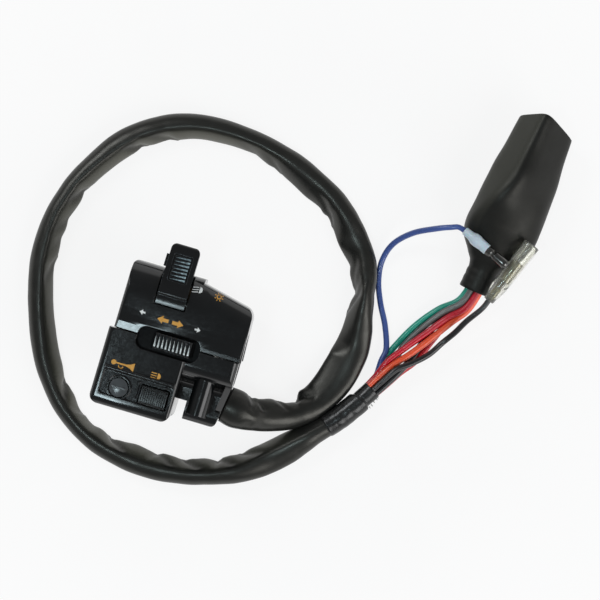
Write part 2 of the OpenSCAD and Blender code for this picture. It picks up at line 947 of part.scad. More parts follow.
module button_board() {
    color([0.35, 0.2, 0.1])
    difference() {
        span(left_x - box_step + wall + gap, box_right - wall - gap,
            board_y0, board_y1, board_z - board_t, board_z);
        rod_z(tap_r + seat_gap, 0, 20, board_screw[0], board_screw[1]);
    }
}

module button_contacts() {
    color([0.8, 0.6, 0.25])
    for (x = [horn_x, pass_x])
        for (s = [-1, 1])
            translate([x + s * 1.15, button_y, 0])
                span(-0.8, 0.8, -1.6, 1.6, board_z, board_z + strip_t);
}

module cable_grommet() {
    color([0.09, 0.09, 0.09])
    at_outlet()
        difference() {
            union() {
                rod_x(grommet_r - seat_gap, -grommet_deep, 0, 0, 0);
                rod_x(grommet_r + 1.2, 0, grommet_out, 0, 0);
            }
            rod_x(outlet_r, -30, 30, 0, 0);
        }
}

// Loom route from the outlet round the housing to the tape
end_gap = 0.1;
join_at = [62.5, -14.3, 0];
join_way = unit([13, 14, 0]);
sleeve_run = [
    outlet_pt(grommet_out + end_gap),
    outlet_pt(6),
    [32.5, -18.5, -8.4],
    [37, -18.4, -10.9],
    [42, -17.2, -13.6],
    [47.5, -15, -15.7],
    [53.5, -10, floor_lie],
    [58.5, -2.5, floor_lie],
    [61.5, 6, floor_lie],
    [63, 16, floor_lie],
    [63, 27, floor_lie],
    [62.5, 37, floor_lie],
    [60, 46.5, floor_lie],
    [55.5, 54.5, floor_lie],
    [49, 62.5, floor_lie],
    [41, 69, floor_lie],
    [31.5, 74.2, floor_lie],
    [20, 79, floor_lie],
    [7, 82, floor_lie],
    [-7, 83, floor_lie],
    [-20, 81.5, floor_lie],
    [-32, 76.5, floor_lie],
    [-42, 69, floor_lie],
    [-50.5, 58.5, floor_lie],
    [-57, 47, floor_lie],
    [-61, 34, floor_lie],
    [-61.5, 20, floor_lie],
    [-59, 6.5, floor_lie],
    [-54.5, -8, floor_lie],
    [-48, -22.5, floor_lie],
    [-38.5, -35, floor_lie],
    [-25.5, -43.8, floor_lie],
    [-10.5, -48, floor_lie],
    [5, -48.8, floor_lie],
    [20, -46.5, floor_lie],
    [33.5, -41, floor_lie],
    [44.5, -32.5, floor_lie],
    [54, -23, floor_lie],
    join_at - 2.5 * join_way + [0, 0, floor_lie],
    join_at - end_gap * join_way + [0, 0, floor_lie]];

tape_z = back_z + tape_r;
bundle_at = [75.2, 3.9];
bundle_way = unit([27, 47.6]);
tape_run = [
    join_at + [0, 0, tape_z],
    join_at + 2.5 * join_way + [0, 0, tape_z],
    [67, -9, tape_z],
    [71.3, -2.7, tape_z],
    concat(bundle_at - 3 * bundle_way, tape_z),
    concat(bundle_at, tape_z)];

// Bundle of wires beyond the tape: along, across to the right, height above the table
function bundle_pt(p) =
    concat(bundle_at + p[0] * bundle_way + p[1] * [bundle_way[1], -bundle_way[0]], back_z + p[2]);

// Soft boot: local x to the right, y down, z along the boot from its neck
boot_at = [102.2, 51.5, back_z + 5.2];
boot_yaw = 6.8;
boot_rise = 6.6;
boot_roll = 47;
socket_z = 45.5;
plug_lift = 0.8;
function boot_pt(p) =
    let (
        q = [p[0], p[1] * cos(90 - boot_rise) + p[2] * sin(90 - boot_rise),
            -p[1] * sin(90 - boot_rise) + p[2] * cos(90 - boot_rise)])
    boot_at + [
        q[0] * cos(boot_yaw) + q[1] * sin(boot_yaw),
        -q[0] * sin(boot_yaw) + q[1] * cos(boot_yaw),
        q[2]];

module in_boot() {
    translate(boot_at)
        rotate([boot_rise - 90, 0, -boot_yaw])
            children();
}

// Wire in cavity column i, row j, seen in the boot's frame
cell_x = 4.9;
cell_y = 4.8;
function cell(i, j) =
    let (x = (i - 1) * cell_x, y = (j - 0.5) * cell_y)
    [x * cos(boot_roll) - y * sin(boot_roll), x * sin(boot_roll) + y * cos(boot_roll) - plug_lift];

// The last part of a wire: through the neck at angle a, then to its cavity
function in_neck(a, c) = [
    boot_pt([2.5 * cos(a), 2.5 * sin(a), 3]),
    boot_pt([2.5 * cos(a), 2.5 * sin(a), 11]),
    boot_pt([0.5 * c[0] + 1.25 * cos(a), 0.5 * c[1] + 1.25 * sin(a), 25]),
    boot_pt([c[0], c[1], 38]),
    boot_pt([c[0], c[1], socket_z])];

green_run = [[0.35, 0.8, 2.2], [5, 0.3, 2], [12, -4.6, 1.4], [20, -5.9, 1.8],
    [30, -6, 2.4], [40, -4.4, 3.4], [48, -1.6, 4.4]];
grey_run = [[0.35, 0, 4.7], [5, 0, 4.6], [12, -1, 3.8], [20, -3.5, 3],
    [30, -3.6, 3.7], [40, -2.5, 5], [48, -0.2, 6.5]];
crimson_run = [[0.35, -2.6, 4.4], [5, -2.8, 4.6], [12, -3.6, 5.4], [20, -2.7, 5.4],
    [30, -1.2, 5.5], [40, 0.2, 6.2], [48, 2.3, 6.6]];
orange_run = [[0.35, -1.8, 6.6], [5, -1.7, 6.7], [12, -1.3, 6.7], [20, 0.3, 6.4],
    [30, 1.6, 6.1], [40, 2.6, 5.6], [48, 3.6, 4.7]];
dark_run = [[0.35, 2.3, 6], [5, 2.4, 5.9], [12, 2.4, 5.7], [20, 1.8, 4],
    [30, -0.2, 2.6], [40, -1, 2.6], [48, -0.2, 2.4]];
red_run = [[0.35, 2.5, 3.7], [5, 2.7, 3.5], [12, 2.9, 3.1], [20, 3.9, 2.4],
    [30, 2.6, 2.5], [40, 1.6, 2.6], [48, 2.2, 2.3]];
black_run = [[0.35, 0.3, 7.3], [5, 0.4, 7.7], [12, 0.8, 8.3], [18, 3.3, 7.9],
    [25, 5.4, 7], [32, 5.8, 6.6], [38, 6.2, 8.4], [44, 6, 10.8]];
blue_run = [[0.35, -1.5, 2.3], [5, -2.8, 2.4], [10, -5.4, 3.2]];

// Bullet on the blue wire, lying over the boot, and the covered socket beside it
bullet_at = [91.4, 72.1, back_z + 17.4];
bullet_yaw = -24.6;
bullet_rise = 12;
bullet_way = direction(bullet_yaw, bullet_rise);
bullet_len = 9.8;
cuff_len = 11.4;
cuff_r = 2.4;
socket_at = [107.8, 49.3, back_z + 13.3];
socket_yaw = 69;
socket_rise = 7.5;
socket_way = direction(socket_yaw, socket_rise);
cover_len = 27;
cover_r = 3.3;
cover_wall = 0.6;

function direction(a, up) = [cos(a) * cos(up), sin(a) * cos(up), sin(up)];

blue_tail = [
    [76, 20.5, back_z + 2.6],
    [73, 29, back_z + 1.6],
    [69, 36.5, back_z + 1.3],
    [65.8, 44.5, back_z + 1.2],
    [64.8, 52.5, back_z + 2],
    [67, 60, back_z + 4.6],
    [73, 66, back_z + 9],
    [81, 70, back_z + 14.4],
    [86.2, 72, back_z + 16.4],
    [88.9, 72.8, back_z + 16.8],
    bullet_at - 7 * end_gap * bullet_way];
black_tail = [
    socket_at - 4 * socket_way,
    socket_at - end_gap * socket_way];

module wire_along(run, tail) {
    tube(concat([for (p = run) bundle_pt(p)], tail), wire_r, 8);
}

module loom_sleeve() {
    color([0.06, 0.06, 0.06])
    tube(sleeve_run, sleeve_r, 12);
}

module tape_wrap() {
    color([0.1, 0.1, 0.1])
    tube(tape_run, tape_r, 12);
}

module wire_green() {
    color([0.05, 0.5, 0.3])
    wire_along(green_run, in_neck(180, cell(0, 1)));
}

module wire_grey() {
    color([0.5, 0.5, 0.5])
    wire_along(grey_run, in_neck(240, cell(0, 0)));
}

module wire_crimson() {
    color([0.7, 0.05, 0.2])
    wire_along(crimson_run, in_neck(300, cell(1, 0)));
}

module wire_orange() {
    color([0.85, 0.25, 0.1])
    wire_along(orange_run, in_neck(0, cell(2, 0)));
}

module wire_dark() {
    color([0.12, 0.12, 0.13])
    wire_along(dark_run, in_neck(120, cell(1, 1)));
}

module wire_red() {
    color([0.55, 0.05, 0.06])
    wire_along(red_run, in_neck(60, cell(2, 1)));
}

module lead_blue() {
    color([0.1, 0.5, 0.85])
    wire_along(blue_run, blue_tail);
}

module lead_black() {
    color([0.08, 0.08, 0.08])
    wire_along(black_run, black_tail);
}

// Boot sections: along, half width, half height, squareness, roll, lift off the axis, and how far
// the upper edge of the section is drawn along
boot_rings = [
    [0, 6.4, 5.2, 2, 0, 0, 0],
    [9, 6.2, 5.4, 2, 0, 0, 0],
    [14, 9.2, 6.5, 2.2, 5, 0.1, 0],
    [20, 13.6, 7.3, 2.4, 12, 0.5, 0],
    [27, 14.9, 8.2, 2.6, 21, 1.75, 0],
    [38, 14.3, 9.2, 3.2, 36, 3.2, 0],
    [48, 13, 9.4, 4, 43, 2.4, 0],
    [58, 11.2, 8.5, 4.6, 42, 0.8, 0.2],
    [68, 10, 7.8, 5.2, 42, 0, 0.5]];
boot_sides = 28;

function boot_ring(s, g) =
    [for (k = [0:boot_sides - 1])
        let (
            a = 360 * k / boot_sides,
            c = cos(a),
            d = sin(a),
            x = (s[1] - g) * sign(c) * pow(abs(c), 2 / s[3]),
            y = (s[2] - g) * sign(d) * pow(abs(d), 2 / s[3]))
        [x * cos(s[4]) - y * sin(s[4]), x * sin(s[4]) + y * cos(s[4]) - s[5],
            s[0] + s[6] * max(0, -x * sin(s[4]) - y * cos(s[4]))]];

module connector_boot() {
    n = len(boot_rings);
    m = boot_sides;
    pts = concat(
        [for (s = boot_rings) each boot_ring(s, 0)],
        [for (i = [n - 1:-1:0]) each boot_ring(boot_rings[i], boot_wall)]);
    faces = [for (i = [0:2 * n - 1])
        for (k = [0:m - 1])
            let (j = (i + 1) % (2 * n))
            each [
                [i * m + k, j * m + (k + 1) % m, j * m + k],
                [i * m + k, i * m + (k + 1) % m, j * m + (k + 1) % m]]];
    color([0.08, 0.08, 0.08])
    in_boot()
        polyhedron(points = pts, faces = [for (f = faces) [f[0], f[2], f[1]]], convexity = 10);
}

plug_w = 15;
plug_h = 10;
plug_len = 17;
blade_w = 2.8;
blade_t = 0.8;

module connector_housing() {
    color([0.93, 0.93, 0.9])
    in_boot()
        translate([0, -plug_lift, socket_z])
            rotate([0, 0, boot_roll])
                difference() {
                    union() {
                        along_z(rounded(box_corners(plug_w, plug_h, 0.6)), 0, plug_len);
                        along_z(rounded(box_corners(plug_w + 1, plug_h + 0.4, 0.6)), 0, plug_len - 9);
                        span(-2.2, 2.2, plug_h / 2 - 0.2, plug_h / 2 + 0.7, 2, plug_len - 2);
                    }
                    for (i = [-1, 0, 1])
                        for (j = [-1, 1])
                            translate([i * cell_x, j * cell_y / 2, 0]) {
                                span(-1.7, 1.7, -1.3, 1.3, -1, plug_len - 1.2);
                                span(-1.7, 1.7, -0.7, 0.7, 1, plug_len + 1);
                                along_z([[-1.7, 0], [1.7, 0], [0, 1.5]], plug_len - 3, plug_len + 1);
                            }
                    span(-1.5, 1.5, plug_h / 2 - 0.7, 10, 6, 12);
                }
}

module connector_terminals() {
    color([0.83, 0.65, 0.3])
    in_boot()
        translate([0, -plug_lift, socket_z])
            rotate([0, 0, boot_roll])
                for (i = [-1, 0, 1])
                    for (j = [-1, 1])
                        translate([i * cell_x, j * cell_y / 2, 0]) {
                            span(-1.3, 1.3, -1, 1, 0, 9);
                            span(-blade_w / 2, blade_w / 2, -blade_t / 2, blade_t / 2, 8, plug_len - 1);
                        }
}

module bullet_terminal() {
    r = bullet_d / 2;
    color([0.78, 0.76, 0.72])
    translate(bullet_at)
        rotate([0, 90 - bullet_rise, bullet_yaw])
            // Barrel, collar, crimped waist and rounded head
            rotate_extrude()
                polygon([
                    [0, 0], [wire_r + 0.5, 0], [wire_r + 0.5, cuff_len - 1], [r, cuff_len - 1],
                    [r, cuff_len + 1.9], [r - 0.5, cuff_len + 2.4], [r - 0.5, cuff_len + 3.2],
                    [r, cuff_len + 3.7], [r, cuff_len + bullet_len - 2],
                    [r - 0.25, cuff_len + bullet_len - 1],
                    [r - 0.8, cuff_len + bullet_len - 0.2], [r - 1.2, cuff_len + bullet_len],
                    [0, cuff_len + bullet_len]]);
}

module bullet_sleeve() {
    color([0.85, 0.9, 0.95])
    translate(bullet_at)
        rotate([0, 90 - bullet_rise, bullet_yaw])
            difference() {
                union() {
                    cylinder(r1 = wire_r + 0.9, r2 = cuff_r, h = 4.5);
                    translate([0, 0, 4.5])
                        cylinder(r = cuff_r, h = 4);
                    translate([0, 0, 8.5])
                        cylinder(r1 = cuff_r, r2 = bullet_d / 2 + 0.3, h = cuff_len - 8.5);
                }
                translate([0, 0, -1])
                    cylinder(r = wire_r + 0.5 + seat_gap, h = cuff_len);
                translate([0, 0, cuff_len - 1])
                    cylinder(r = bullet_d / 2 + seat_gap, h = 3);
            }
}

module receptacle_terminal() {
    color([0.8, 0.62, 0.28])
    translate(socket_at)
        rotate([0, 90 - socket_rise, socket_yaw])
            difference() {
                union() {
                    cylinder(r = wire_r + 0.5, h = 9);
                    translate([0, 0, 8.5])
                        cylinder(r1 = wire_r + 0.5, r2 = bullet_d / 2 + 0.45, h = 1);
                    translate([0, 0, 9.5])
                        cylinder(r = bullet_d / 2 + 0.45, h = 9);
                }
                translate([0, 0, 10.5])
                    cylinder(r = bullet_d / 2 + 0.1, h = 20);
            }
}

module receptacle_sleeve() {
    color([0.85, 0.82, 0.6, 0.6])
    translate(socket_at)
        rotate([0, 90 - socket_rise, socket_yaw])
            difference() {
                union() {
                    cylinder(r1 = wire_r + 1.1, r2 = cover_r, h = 7);
                    translate([0, 0, 7])
                        cylinder(r = cover_r, h = cover_len - 7);
                }
                translate([0, 0, 8])
                    cylinder(r = cover_r - cover_wall, h = cover_len);
                translate([0, 0, -1])
                    cylinder(r = wire_r + 0.5 + seat_gap, h = 10);
            }
}

upper_housing();
lower_housing();
clamp_screws();
dimmer_lever();
dimmer_pivot_pin();
dimmer_detent_ball();
dimmer_detent_spring();
dimmer_moving_contact();
dimmer_base();
dimmer_fixed_contacts();
turn_knob();
turn_slider();
turn_moving_contact();
turn_detent_ball();
turn_detent_spring();
turn_base();
turn_fixed_contacts();
board_screws();
horn_button();
horn_moving_contact();
horn_spring();
pass_button();
pass_moving_contact();
pass_spring();
button_board();
button_contacts();
cable_grommet();
loom_sleeve();
tape_wrap();
wire_green();
wire_grey();
wire_crimson();
wire_orange();
wire_dark();
wire_red();
lead_blue();
lead_black();
connector_boot();
connector_housing();
connector_terminals();
bullet_terminal();
bullet_sleeve();
receptacle_terminal();
receptacle_sleeve();
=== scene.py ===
"""Dresses the handlebar switch cluster: soft loom, boot, printed signs, materials, light and camera.

The tables are in millimetres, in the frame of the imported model: X along the bar towards the loom
outlet, Y from the lower half to the upper half, Z up from the table. MM turns them into metres.
"""
import math
import random

import bmesh
import bpy
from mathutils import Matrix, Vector, noise
from mathutils.bvhtree import BVHTree


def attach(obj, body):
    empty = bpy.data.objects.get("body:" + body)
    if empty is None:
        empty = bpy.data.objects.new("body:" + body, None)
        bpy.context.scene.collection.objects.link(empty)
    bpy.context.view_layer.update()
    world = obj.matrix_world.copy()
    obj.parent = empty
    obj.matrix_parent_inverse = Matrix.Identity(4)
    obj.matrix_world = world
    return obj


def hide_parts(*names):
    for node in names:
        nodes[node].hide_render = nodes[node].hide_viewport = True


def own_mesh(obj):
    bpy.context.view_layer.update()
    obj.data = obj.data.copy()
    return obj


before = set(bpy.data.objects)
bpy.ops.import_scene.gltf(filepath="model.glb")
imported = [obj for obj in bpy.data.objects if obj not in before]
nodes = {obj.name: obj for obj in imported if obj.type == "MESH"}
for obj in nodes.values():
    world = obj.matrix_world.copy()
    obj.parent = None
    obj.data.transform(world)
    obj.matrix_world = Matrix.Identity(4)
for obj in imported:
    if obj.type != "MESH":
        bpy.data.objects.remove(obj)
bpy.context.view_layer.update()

MM = 0.001
# Points closer than this, in metres, are one point
WELD = 1e-7
TABLE = -21.0
# Soft skins stay this far above the table
CLEAR_OF_TABLE = 0.02
WIRE_R = 1.05
# The jackets swell between the tape's mouth and the boot, more in the bundle than on the free leads
JACKET_SWELL = 0.22
LEAD_SWELL = 0.1
SLEEVE_D = 9.2
# How much steeper than the straight line a pinched curve runs into its crease
CREASE_SLOPE = 1.2
# The loom leaves the housing here, leaning away from the bar's axis
OUTLET = Vector((22.504, -17.2, -7))
OUTLET_LEAN = math.radians(8.3)


# Curves and skins


def clamp(*values):
    """The least of the values, kept between 0 and 1."""
    return max(0.0, min(1.0, *values))


def placed(name, data):
    """A new object in the scene's collection."""
    obj = bpy.data.objects.new(name, data)
    bpy.context.scene.collection.objects.link(obj)
    return obj


def weld(obj):
    """Joins points that lie in one place and turns all faces outwards."""
    bm = bmesh.new()
    bm.from_mesh(obj.data)
    bmesh.ops.remove_doubles(bm, verts=bm.verts, dist=WELD)
    bmesh.ops.recalc_face_normals(bm, faces=bm.faces)
    bm.to_mesh(obj.data)
    bm.free()
    return obj


def glide(rows, at, pinched=False):
    """Values between rows of [place, value, ...] on smooth curves that never overshoot.

    A pinched curve keeps a crease at each of its lowest rows.
    """
    if at <= rows[0][0]:
        return list(rows[0][1:])
    if at >= rows[-1][0]:
        return list(rows[-1][1:])
    i = max(k for k in range(len(rows) - 1) if rows[k][0] <= at)
    width = rows[i + 1][0] - rows[i][0]
    t = (at - rows[i][0]) / width
    out = []
    for c in range(1, len(rows[0])):
        def step(k):
            if k < 0 or k >= len(rows) - 1:
                return None
            return (rows[k + 1][c] - rows[k][c]) / (rows[k + 1][0] - rows[k][0])

        def slope(k, this_side):
            before = step(k - 1)
            after = step(k)
            if before is None or after is None:
                return this_side
            if before * after > 0:
                return 2 * before * after / (before + after)
            if pinched and before < 0 < after:
                return CREASE_SLOPE * this_side
            return 0

        here = step(i)
        a = rows[i][c]
        b = rows[i + 1][c]
        m0 = slope(i, here) * width
        m1 = slope(i + 1, here) * width
        out.append(
            (2 * t ** 3 - 3 * t ** 2 + 1) * a + (t ** 3 - 2 * t ** 2 + t) * m0
            + (3 * t ** 2 - 2 * t ** 3) * b + (t ** 3 - t ** 2) * m1)
    return out


def flow(points, spacing):
    """A smooth curve through the points, sampled about every spacing millimetres."""
    points = [Vector(p) for p in points]
    out = []
    for i in range(len(points) - 1):
        p1 = points[i]
        p2 = points[i + 1]
        p0 = points[i - 1] if i else p1 - (p2 - p1)
        p3 = points[i + 2] if i + 2 < len(points) else p2 + (p2 - p1)
        count = max(2, round((p2 - p1).length / spacing))
        for k in range(count):
            t = k / count
            out.append(0.5 * (
                2 * p1 + (p2 - p0) * t + (2 * p0 - 5 * p1 + 4 * p2 - p3) * t ** 2
                + (3 * p1 - p0 - 3 * p2 + p3) * t ** 3))
    out.append(points[-1])
    return out


def stations(path):
    """For each point of a path: the point, its right, its up and the length so far."""
    out = []
    far = 0.0
    for i, p in enumerate(path):
        if i:
            far += (p - path[i - 1]).length
        way = (path[min(i + 1, len(path) - 1)] - path[max(i - 1, 0)]).normalized()
        right = way.cross(Vector((0, 0, 1))).normalized()
        out.append((p, right, right.cross(way), far))
    return out


def run_length(path):
    return sum((b - a).length for a, b in zip(path, path[1:])) * MM


def skin(name, rings, material, open_ends=False):
    """A mesh through rings of equally many points, closed at both ends unless told otherwise."""
    count = len(rings[0])
    mesh = bpy.data.meshes.new(name)
    verts = [tuple(p * MM) for ring in rings for p in ring]
    faces = []
    for i in range(len(rings) - 1):
        for k in range(count):
            n = (k + 1) % count
            faces.append((i * count + k, i * count + n, (i + 1) * count + n, (i + 1) * count + k))
    if not open_ends:
        faces.append(tuple(reversed(range(count))))
        faces.append(tuple(range((len(rings) - 1) * count, len(rings) * count)))
    mesh.from_pydata(verts, [], faces)
    mesh.materials.append(material)
    obj = placed(name, mesh)
    bm = bmesh.new()
    bm.from_mesh(mesh)
    bmesh.ops.recalc_face_normals(bm, faces=bm.faces)
    # The end caps have many corners and stay flat
    for face in bm.faces:
        face.smooth = len(face.verts) == 4
    bm.to_mesh(mesh)
    bm.free()
    return obj


def around(sides):
    """The angles of a section's points, with their cosines and sines."""
    for k in range(sides):
        a = 2 * math.pi * k / sides
        yield a, math.cos(a), math.sin(a)


def round_rings(path, radius, sides=18):
    """Round sections along a path; radius is a function of the length so far."""
    rings = []
    for p, right, up, far in stations(path):
        r = radius(far)
        rings.append([p + r * (c * right + d * up) for _, c, d in around(sides)])
    return rings


def turned(name, profile, at, axis, material, bend, sides=36):
    """A hollow piece turned round an axis: rows of (along, radius), and a bend added to the radius."""
    right = axis.cross(Vector((0, 0, 1))).normalized()
    up = right.cross(axis)
    rings = []
    for along, r in profile:
        middle = at + along * axis
        rings.append([middle + (r + bend(along, a)) * (c * right + d * up) for a, c, d in around(sides)])
    rings.append(rings[0])
    return weld(skin(name, rings, material, open_ends=True))


# Materials

# Noise mostly keeps between these values
NOISE = (0.3, 0.7)
NOISE_DETAIL = 3.0
# Places of the colour sockets on a Mix node
MIX_BASE = 6
MIX_OTHER = 7
MIX_RESULT = 2
BEVEL_SAMPLES = 8
# Cosines of the turn at which an edge begins to take its edge colour and takes it fully; that colour is
# rubbed wear on most pieces and a painted highlight on the lever, knob and pass button
WEAR_AND_GLINT_TURN = (0.99, 0.82)
WEAR_AND_GLINT_SCALE = 420
WEAR_AND_GLINT_MOST = 0.8
# The slow relief's scale, and the scale of the smears as a share of the grain's
SWELL_SCALE = 90
SMEAR_SHARE = 0.3
# The value stored on a mesh where a painted reflection pales its finish
PAINTED_SHEEN = "slack"


def link(tree, out, socket):
    tree.links.new(out, socket)


def speckle(tree, scale):
    """Noise over the piece's own coordinates, which are metres."""
    place = tree.nodes.new("ShaderNodeTexCoord")
    tex = tree.nodes.new("ShaderNodeTexNoise")
    tex.inputs["Scale"].default_value = scale
    tex.inputs["Detail"].default_value = NOISE_DETAIL
    link(tree, place.outputs["Object"], tex.inputs["Vector"])
    return tex.outputs["Fac"]


def ramp(tree, fac, rows):
    node = tree.nodes.new("ShaderNodeValToRGB")
    stops = node.color_ramp.elements
    while len(stops) < len(rows):
        stops.new(0.5)
    for stop, (place, colour) in zip(stops, rows):
        stop.position = place
        stop.color = (*colour, 1)
    link(tree, fac, node.inputs["Fac"])
    return node.outputs["Color"]


def remap(tree, value, start, target):
    """Carries a value from one range over to another."""
    node = tree.nodes.new("ShaderNodeMapRange")
    for key, number in zip(("From Min", "From Max", "To Min", "To Max"), (*start, *target)):
        node.inputs[key].default_value = number
    link(tree, value, node.inputs["Value"])
    return node.outputs["Result"]


def combine(tree, operation, first, second):
    node = tree.nodes.new("ShaderNodeMath")
    node.operation = operation
    link(tree, first, node.inputs[0])
    link(tree, second, node.inputs[1])
    return node.outputs["Value"]


def tinted(tree, share, base, colour):
    """A base colour that turns to another one as far as the share says."""
    mix = tree.nodes.new("ShaderNodeMix")
    mix.data_type = "RGBA"
    link(tree, share, mix.inputs["Factor"])
    link(tree, base, mix.inputs[MIX_BASE])
    mix.inputs[MIX_OTHER].default_value = (*colour, 1)
    return mix.outputs[MIX_RESULT]


def shade(colour, times):
    return tuple(min(1.0, c * times) for c in colour)


def surface(name, colour, rough, *, tone=0.15, patch=160, smear=0.07, grain=1800, depth=0.01,
            swell=0.0, edge=0.0, wear_and_glint=None, sockets=None):
    """A node-built finish.

    tone spreads the colour over patches, smear the roughness; grain and depth make the fine relief,
    swell a slow one; edge rounds sharp edges in the light, and the edge colour given is the one they turn
    to: rubbed wear on most pieces, a painted highlight on the lever, knob and pass button.
    """
    mat = bpy.data.materials.new(name)
    mat.use_nodes = True
    tree = mat.node_tree
    bsdf = tree.nodes["Principled BSDF"]
    for key, value in (sockets or {}).items():
        bsdf.inputs[key].default_value = value
    tones = (shade(colour, 1 - tone), shade(colour, 1 + tone))
    tint = ramp(tree, speckle(tree, patch), list(zip(NOISE, tones)))
    normal = None
    if edge:
        bevel = tree.nodes.new("ShaderNodeBevel")
        bevel.samples = BEVEL_SAMPLES
        bevel.inputs["Radius"].default_value = edge * MM
        normal = bevel.outputs["Normal"]
    if edge and wear_and_glint:
        turn = tree.nodes.new("ShaderNodeVectorMath")
        turn.operation = "DOT_PRODUCT"
        link(tree, normal, turn.inputs[0])
        link(tree, tree.nodes.new("ShaderNodeNewGeometry").outputs["Normal"], turn.inputs[1])
        wear_and_glint_share = remap(tree, turn.outputs["Value"], WEAR_AND_GLINT_TURN, (0, 1))
        patchy = remap(tree, speckle(tree, WEAR_AND_GLINT_SCALE), NOISE, (0.0, WEAR_AND_GLINT_MOST))
        tint = tinted(tree, combine(tree, "MULTIPLY", wear_and_glint_share, patchy), tint, wear_and_glint)
    link(tree, tint, bsdf.inputs["Base Color"])
    smears = remap(tree, speckle(tree, grain * SMEAR_SHARE), NOISE, (rough - smear, rough + smear))
    link(tree, smears, bsdf.inputs["Roughness"])
    for scale, height in ((SWELL_SCALE, swell), (grain, depth)):
        if height:
            bump = tree.nodes.new("ShaderNodeBump")
            bump.inputs["Distance"].default_value = height * MM
            link(tree, speckle(tree, scale), bump.inputs["Height"])
            if normal:
                link(tree, normal, bump.inputs["Normal"])
            normal = bump.outputs["Normal"]
    if normal:
        link(tree, normal, bsdf.inputs["Normal"])
    return mat


def wire_finish(name, colour):
    return surface(name, colour, 0.3, tone=0.1, patch=90, smear=0.06, grain=1500, depth=0.008,
                   sockets={"Coat Weight": 0.4, "Coat Roughness": 0.14, "Specular IOR Level": 0.35})


def paint_sheen(mat, colour):
    """Pales a finish where the mesh's stored value is high: a painted reflection."""
    tree = mat.node_tree
    into = tree.nodes["Principled BSDF"].inputs["Base Color"]
    stored = tree.nodes.new("ShaderNodeAttribute")
    stored.attribute_name = PAINTED_SHEEN
    link(tree, tinted(tree, stored.outputs["Fac"], into.links[0].from_socket, colour), into)


def store_sheen(mesh, values):
    mesh.attributes.new(PAINTED_SHEEN, "FLOAT", "POINT").data.foreach_set("value", values)


METAL = {"Metallic": 1.0}
SHELL = surface("shell_black", (0.0058, 0.0064, 0.0068), 0.13, smear=0.03, grain=3200, depth=0.001,
                swell=0.012, edge=0.4, wear_and_glint=(0.014, 0.014, 0.013))
# Painted highlight: the lever's and knob's pale edge colour stands in for light caught on their rib edges
LEVER = surface("lever_black", (0.006, 0.0063, 0.0066), 0.15, smear=0.04, grain=3200, depth=0.0015,
                swell=0.01, edge=0.14, wear_and_glint=(0.2, 0.24, 0.27))
# Painted highlights: pale glint colours laid on the rib crests of the knob and the lever
KNOB_GLINT = surface("knob_painted_glint", (0.5, 0.56, 0.58), 0.3, tone=0.85, patch=1500, grain=3200,
                     depth=0.002)
LEVER_GLINT = surface("lever_painted_glint", (0.2, 0.27, 0.3), 0.3, tone=0.9, patch=1300, grain=3200,
                      depth=0.002)
# Painted highlight: the pass button's paler edge colour makes its fine ribs look as if they catch light
RIBBED = surface("ribbed_black", (0.007, 0.0072, 0.0074), 0.25, smear=0.04, grain=3200, depth=0.0015,
                 edge=0.07, wear_and_glint=(0.07, 0.072, 0.07))
# Painted shade: the slider is darker and duller than the shell to stand for the shade of its recessed slot
SHUTTER = surface("shutter_black", (0.003, 0.003, 0.0032), 0.45, tone=0.2, grain=3000, depth=0.002,
                  sockets={"Specular IOR Level": 0.12})
GREY = surface("button_grey", (0.055, 0.061, 0.065), 0.2, grain=2800, depth=0.004, edge=0.2,
               wear_and_glint=(0.09, 0.09, 0.086))
ZINC = surface("zinc_steel", (0.55, 0.55, 0.53), 0.34, tone=0.12, depth=0.006, edge=0.2, sockets=METAL)
STEEL = surface("bright_steel", (0.6, 0.6, 0.6), 0.22, tone=0.08, depth=0.004, edge=0.15, sockets=METAL)
BRASS = surface("contact_brass", (0.72, 0.5, 0.2), 0.3, depth=0.005, edge=0.15, sockets=METAL)
DULL_BRASS = surface("aged_brass", (0.06, 0.045, 0.025), 0.5, tone=0.25, depth=0.005, edge=0.15,
                     sockets=METAL)
BOARD = surface("brown_board", (0.16, 0.075, 0.03), 0.45, tone=0.25, patch=700, grain=2200, edge=0.15,
                wear_and_glint=(0.3, 0.17, 0.08))
SLEEVE = surface("sleeve_pvc", (0.0125, 0.0128, 0.012), 0.33, patch=120, smear=0.04, grain=1500,
                 depth=0.00012, swell=0.03, sockets={"Specular Tint": (1, 0.98, 0.9, 1)})
TAPE = surface("tape_black", (0.01, 0.0102, 0.0102), 0.27, tone=0.18, patch=200, smear=0.05,
               grain=1700, depth=0.002, swell=0.05)
BOOT = surface("boot_rubber", (0.0125, 0.0127, 0.012), 0.4, tone=0.18, patch=140, smear=0.04,
               grain=1700, depth=0.002, swell=0.02, edge=0.3,
               sockets={"Specular IOR Level": 0.25, "Specular Tint": (1, 0.98, 0.9, 1)})
NYLON = surface("nylon_white", (0.78, 0.77, 0.71), 0.36, tone=0.05, patch=260, grain=2400, depth=0.008,
                edge=0.25, sockets={"Subsurface Weight": 0.15, "Subsurface Scale": 0.001})
TINNED = surface("tinned_brass", (0.13, 0.13, 0.125), 0.2, tone=0.3, patch=420, grain=1600, edge=0.2,
                 sockets=METAL)
OLIVE_BRASS = surface("socket_brass", (0.16, 0.145, 0.085), 0.36, tone=0.25, patch=380, grain=1600,
                      edge=0.2, sockets=METAL)
CUFF = surface("cuff_pale", (0.6, 0.7, 0.78), 0.3, tone=0.06, patch=300, edge=0.2,
               sockets={"Subsurface Weight": 0.2, "Subsurface Scale": 0.001})
CLEAR = surface("clear_pvc", (0.93, 0.93, 0.86), 0.1, tone=0.05, patch=260, smear=0.05, grain=900,
                depth=0.02, sockets={"Transmission Weight": 0.92, "IOR": 1.5})
GREEN = wire_finish("pvc_green", (0.003, 0.36, 0.25))
ASH = wire_finish("pvc_grey", (0.13, 0.13, 0.125))
